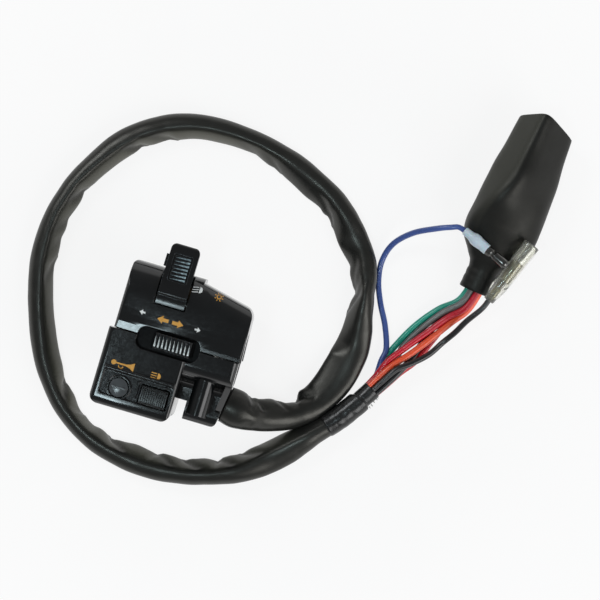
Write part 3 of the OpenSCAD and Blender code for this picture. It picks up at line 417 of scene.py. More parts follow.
CRIMSON = wire_finish("pvc_crimson", (0.62, 0.007, 0.027))
ORANGE = wire_finish("pvc_orange", (0.92, 0.102, 0.032))
RED = wire_finish("pvc_red", (0.58, 0.008, 0.016))
BLUE = wire_finish("pvc_blue", (0.054, 0.1, 0.33))
BLACK = wire_finish("pvc_black", (0.014, 0.014, 0.015))
PRINT_WHITE = surface("print_white", (0.76, 0.78, 0.77), 0.42, tone=0.06, patch=900, grain=4000,
                      depth=0.006)
PRINT_AMBER = surface("print_amber", (0.62, 0.3, 0.035), 0.42, tone=0.1, patch=900, grain=4000,
                      depth=0.006)
FLAKE = surface("tape_gum", (0.62, 0.62, 0.58), 0.45, tone=0.12, patch=900, grain=3000,
                sockets={"Transmission Weight": 0.3})

# Painted reflections: the sleeve's upper inner flank and the boot's left face pale as if mirroring the
# floor
paint_sheen(SLEEVE, (0.072, 0.071, 0.054))
paint_sheen(BOOT, (0.045, 0.045, 0.038))


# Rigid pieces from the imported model

# Split corners closer than this, in metres, are joined, and edges that turn further stay sharp
CORNER_GAP = 2e-6
SHARP_TURN = math.radians(32)
# A rib's crest looks up at least this much
LOOKS_UP = 0.95


def smoothing_group():
    """Joins split corners and shades smoothly, apart from sharp edges."""
    tree = bpy.data.node_groups.new("shade_by_angle", "GeometryNodeTree")
    tree.interface.new_socket("Geometry", in_out="INPUT", socket_type="NodeSocketGeometry")
    tree.interface.new_socket("Geometry", in_out="OUTPUT", socket_type="NodeSocketGeometry")
    start = tree.nodes.new("NodeGroupInput")
    end = tree.nodes.new("NodeGroupOutput")
    drop = tree.nodes.new("GeometryNodeRemoveAttribute")
    drop.inputs["Name"].default_value = "custom_normal"
    merge = tree.nodes.new("GeometryNodeMergeByDistance")
    merge.inputs["Distance"].default_value = CORNER_GAP
    smooth = tree.nodes.new("GeometryNodeSetShadeSmooth")
    smooth.domain = "FACE"
    sharp = tree.nodes.new("GeometryNodeSetShadeSmooth")
    sharp.domain = "EDGE"
    sharp.inputs["Shade Smooth"].default_value = False
    angle = tree.nodes.new("GeometryNodeInputMeshEdgeAngle")
    steep = tree.nodes.new("FunctionNodeCompare")
    steep.operation = "GREATER_THAN"
    steep.inputs["B"].default_value = SHARP_TURN
    link(tree, angle.outputs["Unsigned Angle"], steep.inputs["A"])
    link(tree, steep.outputs["Result"], sharp.inputs["Selection"])
    chain = (start, drop, merge, smooth, sharp, end)
    for first, second in zip(chain, chain[1:]):
        link(tree, first.outputs["Geometry"], second.inputs["Geometry"])
    return tree


FINISHES = {
    SHELL: ["upper_housing", "lower_housing"],
    LEVER: ["dimmer_lever", "turn_knob"],
    RIBBED: ["pass_button"],
    SHUTTER: ["turn_slider"],
    GREY: ["horn_button"],
    ZINC: ["clamp_screws", "board_screws"],
    STEEL: ["dimmer_pivot_pin", "dimmer_detent_ball", "dimmer_detent_spring", "turn_detent_ball",
            "turn_detent_spring", "horn_spring", "pass_spring"],
    DULL_BRASS: ["dimmer_moving_contact", "dimmer_fixed_contacts"],
    BRASS: ["turn_moving_contact", "turn_fixed_contacts", "horn_moving_contact", "pass_moving_contact",
            "button_contacts", "connector_terminals"],
    BOARD: ["dimmer_base", "turn_base", "button_board"],
    BOOT: ["cable_grommet"],
    NYLON: ["connector_housing"],
    TINNED: ["bullet_terminal"],
    OLIVE_BRASS: ["receptacle_terminal"],
}
by_angle = smoothing_group()
for finish, names in FINISHES.items():
    for name in names:
        obj = nodes[name]
        obj.data.materials.clear()
        obj.data.materials.append(finish)
        obj.modifiers.new("shade", "NODES").node_group = by_angle


def paint_crest_glints(name, finish, across, along):
    """Paints a highlight on every second face of the crests of a node's ribs, found by look and size."""
    mesh = nodes[name].data
    found = 0
    mesh.materials.append(finish)
    for face in mesh.polygons:
        corners = [mesh.vertices[i].co / MM for i in face.vertices]
        wide = max(c.x for c in corners) - min(c.x for c in corners)
        long = max(c.y for c in corners) - min(c.y for c in corners)
        if face.normal.z > LOOKS_UP and across[0] < wide < across[1] and along[0] < long < along[1]:
            face.material_index = found % 2
            found += 1


paint_crest_glints("turn_knob", KNOB_GLINT, (0.6, 0.8), (4, 5))
paint_crest_glints("dimmer_lever", LEVER_GLINT, (5.5, 6.1), (0.7, 0.78))

# The buttons' springs get meshes of their own
for name, joint, travel in (("horn_spring", "horn_press", 2), ("pass_spring", "pass_press", 2)):
    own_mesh(nodes[name])


def settle(piece, node):
    """A soft piece takes the place of its plain solid and stays with the housing."""
    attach(piece, "housing")
    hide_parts(node)
    return piece


# Loom sleeve: a soft PVC tube, over the grommet, round the loop and under the tape


def outlet(d):
    return OUTLET + d * Vector((math.cos(OUTLET_LEAN), -math.sin(OUTLET_LEAN), 0))


JOIN_AT = Vector((62.5, -14.3, 0))
JOIN_WAY = Vector((13, 14, 0)).normalized()
LIE = TABLE + SLEEVE_D / 2
SLEEVE_RUN = [
    outlet(0.25), outlet(1.7), outlet(6), (32.5, -18.5, -8.4), (37, -18.4, -10.9), (42, -17.2, -13.6),
    (47.5, -15, -15.7)]
SLEEVE_RUN += [(x, y, LIE) for x, y in (
    (53.5, -10), (58.5, -2.5), (61.5, 6), (63, 16), (63, 27), (62.5, 37), (60, 46.5), (55.5, 54.5),
    (49, 62.5), (41, 69), (31.5, 74.2), (20, 79), (7, 82), (-7, 83), (-20, 81.5), (-32, 76.5), (-42, 69),
    (-50.5, 58.5), (-57, 47), (-61, 34), (-61.5, 20), (-59, 6.5), (-54.5, -8), (-48, -22.5), (-38.5, -35),
    (-25.5, -43.8), (-10.5, -48), (5, -48.8), (20, -46.5), (33.5, -41), (44.5, -32.5), (54, -23))]
SLEEVE_RUN += [JOIN_AT + d * JOIN_WAY + Vector((0, 0, LIE)) for d in (-2.5, 1.5)]

# Along the sleeve: reach towards the inside of the loop, and towards the outside
SLEEVE_EDGES = [
    [0, 7.1, 7.0], [4, 7.5, 7.3], [9, 6.1, 6.4], [14, 7.0, 5.5], [19, 7.4, 5.3], [25, 5.6, 5.2],
    [32, 4.3, 5.5], [36, 6.7, 5.8], [42, 7.3, 6.1], [52, 7.6, 6.7], [60, 7.3, 7.0], [66, 6.3, 6.8],
    [72, 5.6, 6.1], [79, 5.2, 4.3], [86, 3.8, 3.4], [91, 5.4, 4.0], [95, 5.8, 4.4], [98, 5.6, 4.7],
    [108, 7.3, 4.5], [114, 6.8, 4.4], [121.5, 5.2, 4.7], [124, 5.8, 4.8], [126.5, 5.6, 4.8],
    [135, 6.5, 4.7], [144, 6.1, 4.7], [152, 4.8, 4.5], [154.5, 5.1, 4.5], [161, 3.9, 4.5],
    [172, 4.3, 4.6], [190, 4.7, 5.1], [194, 4.8, 5.3], [198, 4.0, 5.4], [204, 4.7, 5.4], [210, 3.7, 5.4],
    [215, 4.8, 5.5], [234, 4.8, 4.6], [240, 3.8, 4.5],
    [247, 5.4, 4.2], [253.5, 4.8, 4.2], [258, 5.5, 4.3], [262, 5.0, 4.4], [268, 5.4, 4.7], [274, 4.2, 4.9],
    [294, 4.9, 4.8], [313, 5.5, 4.4], [322, 4.5, 4.0], [328, 5.5, 3.9], [336, 4.1, 3.9], [344, 3.9, 4.1],
    [348, 4.7, 4.3], [354, 3.5, 4.5], [365, 6.0, 4.8], [374, 4.9, 4.8], [377, 5.8, 4.7], [385, 4.6, 4.4],
    [393, 5.8, 4.2], [399, 4.4, 4.5], [404, 5.8, 5.0], [410, 5.0, 5.6], [417, 5.8, 6.1], [426, 5.7, 6.2],
    [434, 5.1, 5.4], [440, 4.5, 4.5], [446, 4.3, 4.3]]
# Along the sleeve: half height, and how far its ridge leans to the outside
SLEEVE_TALL = [
    [0, 6.6, 0], [6, 6.3, 0], [14, 5.2, 0], [24, 4.7, 0], [34, 4.4, 0.3], [42, 3.8, 1.4], [52, 3.5, 1.9],
    [64, 3.5, 1.4], [74, 4.2, 0.4], [85, 5.2, -0.3], [94, 4.5, 0], [106, 3.8, 0.6], [118, 4.3, 0],
    [134, 4.1, 0.4], [150, 4.6, 0], [404, 4.6, 0], [420, 4.2, -0.6], [436, 4.6, 0], [446, 4.3, 0]]
# Folds over the top: from a place along and round to another, and how deep
SLEEVE_FOLDS = [
    [79, 176, 94, 78, 0.8], [90, 172, 105, 98, 0.6], [119, 172, 134, 104, 0.6], [32, 184, 40, 112, 1.0],
    [150, 168, 157, 110, 0.45], [196, 172, 203, 108, 0.5], [209, 174, 215, 118, 0.5],
    [240, 176, 247, 116, 0.55], [272, 172, 280, 110, 0.45], [321, 178, 327, 108, 0.6],
    [337, 178, 331, 104, 0.5], [353, 180, 361, 102, 0.8], [373, 178, 369, 106, 0.6],
    [385, 178, 391, 104, 0.6], [399, 178, 396, 98, 0.7], [410, 176, 421, 100, 0.5],
    [22, 178, 28, 100, 0.5], [8, 176, 10, 92, 0.6], [9, 60, 10, 20, 0.4]]
# Folds lie above this height of the section and are felt only so far along; then a fold's valley's
# width, and its bank's share of the depth, distance and width
FOLDS_ABOVE = -0.3
FOLD_SPAN = 22
VALLEY_WIDTH = 0.9
BANK_SHARE = 0.55
BANK_AWAY = 1.9
BANK_WIDTH = 1.3


def crease_depths(rows):
    """Places along the sleeve where its inner side is drawn in, and by how much."""
    out = []
    for before, here, after in zip(rows, rows[1:], rows[2:]):
        if here[1] < before[1] and here[1] < after[1]:
            out.append((here[0], min(before[1], after[1]) - here[1]))
    return out


CREASES = crease_depths(SLEEVE_EDGES)
# How full the sleeve's slack inner side is between its creases and in them: 2 is round, 1 is straight
SLEEVE_PILLOW = 1.65
SLEEVE_CREASE = 1.15
# The slack side is as full as that from this share of its reach inwards
PILLOW_FROM = 0.6
# Widths of a crease along the sleeve, at its edge and over its top, and how far it runs on there
PINCH_WIDTH = 2.0
CREASE_WIDTH = 2.6
CREASE_RUN = 6
PINCH_DROP = 0.4
# The sleeve lies on the table from here along; its inner edge sags by at most so much, and keeps
# within a circle of this squared radius
LIES_FROM = 34
SAG_MOST = 2.6
SAG_CIRCLE = 54
# The sag ends here; lengths of sleeve for each millimetre that it grows and fades
SAG_TO = 440
SAG_GROWS = 10
SAG_FADES = 8
# The painted reflection: where it starts and ends along the sleeve, and the lengths it grows and fades over
PALE_FROM = 148
PALE_TO = 435
PALE_GROWS = 26
PALE_FADES = 15
PALE_LOST = 0.9
LEAN_POWER = 1.6
# Half the section's usual size, for places round it, and the slow waves of its surface
SLEEVE_R = 5
WAVE = 0.13
WAVE_SCALE = 0.16


def fold_relief(far, turn):
    """How far the folds push the surface in or out at a place along and degrees round the sleeve."""
    lift = 0.0
    size = SLEEVE_D / 2
    here = Vector((far, math.radians(turn) * size))
    for s0, a0, s1, a1, deep in SLEEVE_FOLDS:
        if abs(far - (s0 + s1) / 2) > FOLD_SPAN:
            continue
        a = Vector((s0, math.radians(a0) * size))
        b = Vector((s1, math.radians(a1) * size))
        run = b - a
        t = clamp((here - a).dot(run) / run.length_squared)
        off = here - a - t * run
        side = off.length if run.x * off.y - run.y * off.x > 0 else -off.length
        fade = 1 - t ** 2
        lift -= deep * fade * math.exp(-(side / VALLEY_WIDTH) ** 2)
        lift += BANK_SHARE * deep * fade * math.exp(-((side - BANK_AWAY) / BANK_WIDTH) ** 2)
    return lift


def pillow(c, d, drawn):
    """How far a point of the slack side is drawn in from the round section."""
    slope = SLEEVE_PILLOW - (SLEEVE_PILLOW - SLEEVE_CREASE) * min(1.0, drawn)
    eased = min(1.0, -c / PILLOW_FROM)
    slope = 2 - (2 - slope) * eased * eased * (3 - 2 * eased)
    return (abs(c) ** slope + d ** slope) ** (-1 / slope)


def sleeve_rings(path, sides=52):
    """The sleeve's sections, and for each of their points how far a painted reflection pales it there."""
    rings = []
    slack = []
    for p, right, up, far in stations(path):
        inner, outer = glide(SLEEVE_EDGES, far, pinched=True)
        tall, lean = glide(SLEEVE_TALL, far)
        drop = max(0.0, SLEEVE_D / 2 - tall) if far > LIES_FROM else 0.0
        hang = math.sqrt(max(0.0, SAG_CIRCLE - inner ** 2)) - drop
        sag = max(0.0, min(SAG_MOST, hang, (far - LIES_FROM) / SAG_GROWS, (SAG_TO - far) / SAG_FADES))
        pinch = sum(deep * math.exp(-((far - s) / PINCH_WIDTH) ** 2) for s, deep in CREASES)
        ring = []
        for a, c, d in around(sides):
            inward = max(0.0, -c)
            drawn = sum(
                min(1.0, deep) * math.exp(-((far - s - CREASE_RUN * d) / CREASE_WIDTH) ** 2)
                for s, deep in CREASES)
            # A painted reflection pales the upper inner side, apart from the creases
            upper_inner = min((-c - 0.2) / 0.5, (d + 0.3) / 0.4)
            pale = clamp(upper_inner, (far - PALE_FROM) / PALE_GROWS, (PALE_TO - far) / PALE_FADES)
            slack.append(pale * (1 - PALE_LOST * min(1.0, drawn)))
            flat = pillow(c, d, drawn) if c < 0 < d else 1.0
            across = (outer if c > 0 else inner) * c * flat + lean * max(0.0, d) ** LEAN_POWER
            rise = (tall if d > 0 else min(tall, SLEEVE_D / 2)) * d * flat
            rise -= sag * inward * inward
            rise -= PINCH_DROP * pinch * inward * inward * max(0.0, d)
            relief = fold_relief(far, math.degrees(a)) if d > FOLDS_ABOVE else 0.0
            wobble = WAVE * noise.noise((p + SLEEVE_R * c * right + SLEEVE_R * d * up) * WAVE_SCALE)
            reach = 1 + (relief + wobble) / SLEEVE_R
            q = p + across * reach * right + (rise * reach - drop) * up
            q.z = max(q.z, TABLE + CLEAR_OF_TABLE)
            ring.append(q)
        rings.append(ring)
    return rings, slack


sleeve_path = flow(SLEEVE_RUN, 1.1)
sections, sleeve_sheen = sleeve_rings(sleeve_path)
sleeve = settle(skin("sleeve_soft", sections, SLEEVE), "loom_sleeve")
store_sheen(sleeve.data, sleeve_sheen)


# Tape over the sleeve's end, wound in overlapping turns, with a narrower last turn

BUNDLE_AT = Vector((75.2, 3.9, 0))
BUNDLE_WAY = Vector((27, 47.6, 0)).normalized()
BUNDLE_RIGHT = Vector((BUNDLE_WAY.y, -BUNDLE_WAY.x, 0))
TAPE_LIFT = 4.7
TAPE_LIE = Vector((0, 0, TABLE + TAPE_LIFT))
tape_path = flow([p + TAPE_LIE for p in (
    JOIN_AT - 0.8 * JOIN_WAY, JOIN_AT + 2.5 * JOIN_WAY, Vector((67, -9, 0)), Vector((71.3, -2.7, 0)),
    BUNDLE_AT - 3 * BUNDLE_WAY, BUNDLE_AT)], 0.3)
TAPE_R = 4.62
# Turns of tape: how far one is from the next, how much its edge stands out, how steeply that falls
TURN_PITCH = 6.8
TURN_EDGE = 0.09
TURN_FALL = 5
# The narrower last turn: its length, how much its start is askew, and how much narrower it is
LAST_LONG = 7.2
LAST_SKEW = 1.6
LAST_STEP = 0.85
LAST_RAMP = 0.45
# The first end: its place, how thin it is and the way its step takes
FIRST_AT = 0.5
FIRST_STEP = 0.25
FIRST_RAMP = 0.4
# How ragged the cut ends are and how crinkled the tape is
RAGGED = 0.6
CRINKLE = 0.07


def tape_rings(path, sides=60):
    """Round sections with the edges of the turns, the narrower last turn and ragged ends."""
    rings = []
    length = run_length(path) / MM
    for p, right, up, far in stations(path):
        ring = []
        for a, c, d in around(sides):
            ragged = RAGGED * noise.noise(Vector((3 * c, 3 * d, 4)))
            wound = (far / TURN_PITCH + a / (2 * math.pi)) % 1.0
            r = TAPE_R - TURN_EDGE * min(wound, TURN_FALL * (1 - wound))
            step = length - LAST_LONG + LAST_SKEW * math.sin(a + 0.4) + ragged
            r -= LAST_STEP * clamp((far - step) / LAST_RAMP)
            r -= FIRST_STEP * clamp((FIRST_AT + ragged - far) / FIRST_RAMP)
            r += CRINKLE * noise.noise(Vector((far * 0.5, 2.5 * c, 2.5 * d)))
            q = p + r * (c * right + d * up)
            q.z = max(q.z, TABLE + CLEAR_OF_TABLE)
            ring.append(q)
        rings.append(ring)
    return rings


tape = settle(skin("tape_wound", tape_rings(tape_path), TAPE), "tape_wrap")


# Torn flags at the tape's mouth: how far back along the bundle, how far out and how high each one is
FLAG_SPOTS = [
    (-4.4, 4.2, 0.7), (-2.9, 4.0, 0.2), (-1.4, 3.5, -0.3), (-5.6, 4.3, -0.5), (-0.7, 3.4, 0.9)]
FLAG_STEPS = 4
FLAG_ROOT = 0.35
FLAG_LONG = (0.9, 1.5)
FLAG_BROAD = (0.5, 0.9)
FLAG_CURL = (-0.5, 0.4)
FLAG_HALF = Vector((0, 0, 0.03))


def tape_flags():
    """Small torn flags of gummed tape, one mesh of thin curled slips."""
    rng = random.Random(7)
    mesh = bpy.data.meshes.new("tape_flags")
    bm = bmesh.new()
    for back, out, lift in FLAG_SPOTS:
        base = BUNDLE_AT + TAPE_LIE + back * BUNDLE_WAY + (out - FLAG_ROOT) * BUNDLE_RIGHT
        base.z += lift
        long = rng.uniform(*FLAG_LONG)
        broad = rng.uniform(*FLAG_BROAD)
        curl = rng.uniform(*FLAG_CURL)
        rows = []
        for i in range(FLAG_STEPS + 1):
            t = i / FLAG_STEPS
            mid = base + t * long * BUNDLE_RIGHT + Vector((0, 0, curl * t * t))
            half = 0.5 * broad * (1 - 0.75 * t) + 0.05 * rng.random()
            rows.append([mid - half * BUNDLE_WAY, mid + half * BUNDLE_WAY])
        top = [[bm.verts.new((q + FLAG_HALF) * MM) for q in row] for row in rows]
        low = [[bm.verts.new((q - FLAG_HALF) * MM) for q in row] for row in rows]
        for i in range(FLAG_STEPS):
            bm.faces.new((top[i][0], top[i][1], top[i + 1][1], top[i + 1][0]))
            bm.faces.new((low[i][1], low[i][0], low[i + 1][0], low[i + 1][1]))
            bm.faces.new((top[i][0], top[i + 1][0], low[i + 1][0], low[i][0]))
            bm.faces.new((top[i + 1][1], top[i][1], low[i][1], low[i + 1][1]))
        bm.faces.new((top[0][1], top[0][0], low[0][0], low[0][1]))
        bm.faces.new((top[-1][0], top[-1][1], low[-1][1], low[-1][0]))
    bmesh.ops.recalc_face_normals(bm, faces=bm.faces)
    bm.to_mesh(mesh)
    bm.free()
    mesh.materials.append(FLAKE)
    obj = placed("tape_flags", mesh)
    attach(obj, "housing")
    return obj


flags = tape_flags()


# Wires: from the tape's mouth through the boot's neck to the connector, and two free leads

BOOT_AT = Vector((102.2, 51.5, TABLE + 5.2))
BOOT_YAW = math.radians(6.8)
BOOT_TIP = math.radians(90 - 6.6)
# The connector's roll in the boot, its cavities' pitch across and down, and how far it sits up
BOOT_ROLL = math.radians(47)
CAVITY_ACROSS = 4.9
CAVITY_DOWN = 4.8
CAVITY_UP = 0.8
# The wires pass the boot's neck on a circle of this radius
NECK_R = 2.5


def bundle(p):
    return BUNDLE_AT + p[0] * BUNDLE_WAY + p[1] * BUNDLE_RIGHT + Vector((0, 0, TABLE + p[2]))


def in_boot(p):
    """A point of the boot's own frame: x right, y down, z along from its neck."""
    level = p[1] * math.cos(BOOT_TIP) + p[2] * math.sin(BOOT_TIP)
    rise = -p[1] * math.sin(BOOT_TIP) + p[2] * math.cos(BOOT_TIP)
    return BOOT_AT + Vector((
        p[0] * math.cos(BOOT_YAW) + level * math.sin(BOOT_YAW),
        -p[0] * math.sin(BOOT_YAW) + level * math.cos(BOOT_YAW),
        rise))


def to_cavity(turn, column, row):
    """The last points of a wire: through the neck at an angle, then to its cavity."""
    a = math.radians(turn)
    x = (column - 1) * CAVITY_ACROSS
    y = (row - 0.5) * CAVITY_DOWN
    cx = x * math.cos(BOOT_ROLL) - y * math.sin(BOOT_ROLL)
    cy = x * math.sin(BOOT_ROLL) + y * math.cos(BOOT_ROLL) - CAVITY_UP
    nx = NECK_R * math.cos(a)
    ny = NECK_R * math.sin(a)
    return [in_boot(p) for p in (
        (nx, ny, 3), (nx, ny, 11), ((cx + nx) / 2, (cy + ny) / 2, 25), (cx, cy, 38), (cx, cy, 45.5))]


def direction(turn, rise):
    """A unit vector from its angles in degrees: round from X, and up from the table."""
    round_z = math.radians(turn)
    level = math.cos(math.radians(rise))
    return Vector((level * math.cos(round_z), level * math.sin(round_z), math.sin(math.radians(rise))))


BULLET_AT = Vector((91.4, 72.1, TABLE + 17.4))
BULLET_WAY = direction(-24.6, 12)
SOCKET_AT = Vector((107.8, 49.3, TABLE + 13.3))
SOCKET_WAY = direction(69, 7.5)
WIRES = {
    "wire_green": (GREEN, "pvc_green", [
        (0.35, 0.8, 2.2), (5, 0.3, 2), (12, -4.6, 1.4), (20, -5.9, 1.8), (30, -6, 2.4), (40, -4.4, 3.4),
        (48, -1.6, 4.4)], to_cavity(180, 0, 1)),
    "wire_grey": (ASH, "pvc_grey", [
        (0.35, 0, 4.7), (5, 0, 4.6), (12, -1, 3.8), (20, -3.5, 3), (30, -3.6, 3.7), (40, -2.5, 5),
        (48, -0.2, 6.5)], to_cavity(240, 0, 0)),
    "wire_crimson": (CRIMSON, "pvc_crimson", [
        (0.35, -2.6, 4.4), (5, -2.8, 4.6), (12, -3.6, 5.4), (20, -2.7, 5.4), (30, -1.2, 5.5),
        (40, 0.2, 6.2), (48, 2.3, 6.6)], to_cavity(300, 1, 0)),
    "wire_orange": (ORANGE, "pvc_orange", [
        (0.35, -1.8, 6.6), (5, -1.7, 6.7), (12, -1.3, 6.7), (20, 0.3, 6.4), (30, 1.6, 6.1), (40, 2.6, 5.6),
        (48, 3.6, 4.7)], to_cavity(0, 2, 0)),
    "wire_dark": (BLACK, "pvc_black", [
        (0.35, 2.3, 6), (5, 2.4, 5.9), (12, 2.4, 5.7), (20, 1.8, 4), (30, -0.2, 2.6), (40, -1, 2.6),
        (48, -0.2, 2.4)], to_cavity(120, 1, 1)),
    "wire_red": (RED, "pvc_red", [
        (0.35, 2.5, 3.7), (5, 2.7, 3.5), (12, 2.9, 3.1), (20, 3.9, 2.4), (30, 2.6, 2.5), (40, 1.6, 2.6),
        (48, 2.2, 2.3)], to_cavity(60, 2, 1)),
    "lead_black": (BLACK, "pvc_black", [
        (0.35, 0.3, 7.3), (5, 0.4, 7.7), (12, 0.8, 8.3), (18, 3.3, 7.9), (25, 5.4, 7), (32, 5.8, 6.6),
        (38, 6.2, 8.4), (44, 6, 10.8)],
        [SOCKET_AT - 4 * SOCKET_WAY, SOCKET_AT + 0.8 * SOCKET_WAY]),
    "lead_blue": (BLUE, "pvc_blue", [(0.35, -1.5, 2.3), (5, -2.8, 2.4), (10, -5.4, 3.2)],
        [Vector((x, y, TABLE + z)) for x, y, z in (
            (76, 20.5, 2.6), (73, 29, 1.6), (69, 36.5, 1.3), (65.8, 44.5, 1.2), (64.8, 52.5, 2),
            (67, 60, 4.6), (73, 66, 9), (81, 70, 14.4), (86.2, 72, 16.4), (88.9, 72.8, 16.8))]
        + [BULLET_AT + 0.8 * BULLET_WAY]),
}
# Each wire starts this far inside the tape, drawn towards the middle of the bundle
WIRE_INSIDE = -3.0
DRAWN_IN = 0.9
# A jacket's swelling: its start, its end before the wire's end, and the lengths it grows and fades over
SWELL_FROM = 4
LEAD_END = 4
BOOT_END = 42
SWELL_GROWS = 8
SWELL_FADES = 10
paths = {}
for name, (finish, slot, near, far) in WIRES.items():
    free = name.startswith("lead")
    inside = (WIRE_INSIDE, DRAWN_IN * near[0][1], TAPE_LIFT + DRAWN_IN * (near[0][2] - TAPE_LIFT))
    paths[name] = flow([bundle(p) for p in [inside] + near] + far, 1.0)
    swell = LEAD_SWELL if free else JACKET_SWELL
    end = run_length(paths[name]) / MM - (LEAD_END if free else BOOT_END)

    def jacket(along, swell=swell, end=end):
        return WIRE_R + swell * clamp((along - SWELL_FROM) / SWELL_GROWS, (end - along) / SWELL_FADES)

    settle(skin(name + "_soft", round_rings(paths[name], jacket), finish), name)


# Rubber boot over the connector

# Along the boot: half width, half height, squareness, roll and lift of its section, and how far the
# section's upper edge is drawn along
BOOT_RINGS = [
    [0, 6.4, 5.2, 2, 0, 0, 0], [9, 6.2, 5.4, 2, 0, 0, 0], [14, 9.2, 6.5, 2.2, 5, 0.1, 0],
    [20, 13.6, 7.3, 2.4, 12, 0.5, 0], [27, 14.9, 8.2, 2.6, 21, 1.75, 0], [38, 14.3, 9.2, 3.2, 36, 3.2, 0],
    [48, 13, 9.4, 4, 43, 2.4, 0], [58, 11.2, 8.5, 4.6, 42, 0.8, 0.2], [68, 10, 7.8, 5.2, 42, 0, 0.5]]
BOOT_WALL = 1.2
# The rounded lips at the mouth and the neck: places along, and how far in from the outside
BOOT_MOUTH = [(67.75, 0.12), (68, 0.45), (68, BOOT_WALL - 0.45), (67.75, BOOT_WALL - 0.12)]
BOOT_NECK = [(0.02, BOOT_WALL - 0.4), (0.02, 0.4)]
# The walls run between the lips from here, so far
BOOT_START = 0.25
BOOT_SPAN = 67.0
# The drape: how far it keeps in, its slack waves, and the neck's ripples with their place and reach
DRAPE_IN = 0.12
DRAPE_WAVE = 0.16
RIPPLE = 0.14
RIPPLE_AT = 7
RIPPLE_REACH = 8


def boot_ring(t, inset, sides, drape):
    """A section of the boot, inset from its outside; a draped one has slack waves and ripples."""
    half_w, half_h, square, roll, lift, slant = glide(BOOT_RINGS, t)
    turn = math.radians(roll)
    ring = []
    for _, c, d in around(sides):
        x = (half_w - inset) * math.copysign(abs(c) ** (2 / square), c)
        y = (half_h - inset) * math.copysign(abs(d) ** (2 / square), d)
        if drape:
            slack = DRAPE_WAVE * noise.noise(Vector((x * 0.16, y * 0.16, t * 0.11)))
            ripple = RIPPLE * math.sin(t * 2.1 + 0.8 * d) * max(0.0, 1 - abs(t - RIPPLE_AT) / RIPPLE_REACH)
            scale = 1 + (slack - DRAPE_IN + ripple) / math.hypot(x, y)
            x *= scale
            y *= scale
        down = x * math.sin(turn) + y * math.cos(turn)
        along = t + slant * max(0.0, -down)
        ring.append(in_boot((x * math.cos(turn) - y * math.sin(turn), down - lift, along)))
    return ring


def boot_steps(count):
    """Places along the boot between its lips."""
    return [BOOT_START + BOOT_SPAN * i / count for i in range(count + 1)]


def boot_mesh(sides=72):
    rings = [boot_ring(t, 0.0, sides, True) for t in boot_steps(68)]
    rings += [boot_ring(t, inset, sides, False) for t, inset in BOOT_MOUTH]
    rings += [boot_ring(t, BOOT_WALL, sides, False) for t in reversed(boot_steps(30))]
    rings += [boot_ring(t, inset, sides, False) for t, inset in BOOT_NECK]
    rings.append(rings[0])
    return weld(skin("boot_soft", rings, BOOT, open_ends=True))


def boot_sheen(mesh):
    """How far each point of the boot lies on the face left of its ridge, which is painted paler as a
    reflection.
    """
    out = []
    for v in mesh.vertices:
        along = (v.co / MM - BOOT_AT).dot(in_boot((0, 0, 1)) - BOOT_AT)
        left = -v.normal.dot(in_boot((1, 0, 0)) - BOOT_AT)
        out.append(clamp((left - 0.2) / 0.35, (v.normal.z - 0.15) / 0.3, (along - 20) / 20))
    return out


boot = settle(boot_mesh(), "connector_boot")
store_sheen(boot.data, boot_sheen(boot.data))


# Insulators on the two free leads


def cuff_wave(along, a):
    """The pale cuff is crimped flat in places and has a small moulding nub on one side."""
    nub = 0.35 * math.exp(-((along - 8.6) / 0.7) ** 2 - ((a - 2.2) / 0.3) ** 2)
    return nub - 0.05 * math.cos(2 * a) * math.exp(-((along - 2) / 1.5) ** 2)


cuff = settle(turned(
    "bullet_cuff", [
        (0.0, 1.3), (0.0, 1.55), (0.3, 1.65), (2.4, 1.72), (3.4, 1.85), (4.2, 2.2), (5.0, 2.4),
        (6.4, 2.42), (7.4, 2.22), (8.6, 2.1), (10.2, 2.06), (10.9, 2.06), (11.3, 2.0), (11.4, 1.9),
        (11.35, 1.84), (10.4, 1.84), (10.4, 1.6), (5, 1.58), (0.4, 1.5), (0.2, 1.34)],
    BULLET_AT, BULLET_WAY, CUFF, bend=cuff_wave), "bullet_sleeve")


def cover_wave(along, a):
    """The clear cover is a little out of round towards its mouth, and wavy."""
    return 0.07 * math.cos(2 * a + 0.6) * max(0.0, (along - 6) / 21) + 0.04 * math.sin(along * 0.9 + a)


cover = settle(turned(
    "socket_cover", [
        (0.0, 1.62), (0.05, 2.0), (0.5, 2.1), (2.0, 2.2), (3.6, 2.55), (5.0, 2.85), (7.0, 3.08), (10, 3.05),
        (14, 3.08), (20, 3.12), (24, 3.18), (26.6, 3.26), (26.95, 3.2), (27, 3.0), (26.9, 2.86), (24, 2.78),
        (20, 2.76), (12.2, 2.75), (9, 2.7), (7.6, 2.4), (6.6, 1.75), (3, 1.62)],
    SOCKET_AT, SOCKET_WAY, CLEAR, bend=cover_wave), "receptacle_sleeve")


# Printed signs on the faces, each a thin coat of paint laid on the surface below it

# Signs are cut into strips that follow the surface, and the coat stands a little proud
SIGN_STRIP = 0.3 * MM
SIGN_PROUD = 0.03 * MM
SIGN_THICK = 0.08 * MM
# Height in metres from which the surface below is looked for
LOOK_FROM = 0.1
STROKE = 0.34
ARC_STEPS = 14


def arc(cx, cy, r, start, end, count):
    out = []
    for i in range(count + 1):
        a = math.radians(start + (end - start) * i / count)
        out.append((cx + r * math.cos(a), cy + r * math.sin(a)))
    return out


def bar(x0, y0, x1, y1, thick):
    way = Vector((x1 - x0, y1 - y0)).normalized() * thick / 2
    return [(x0 - way.y, y0 + way.x), (x0 + way.y, y0 - way.x),
            (x1 + way.y, y1 - way.x), (x1 - way.y, y1 + way.x)]


def ring_part(cx, cy, r, thick, start, end):
    outer = arc(cx, cy, r + thick / 2, start, end, ARC_STEPS)
    return outer + arc(cx, cy, r - thick / 2, end, start, ARC_STEPS)


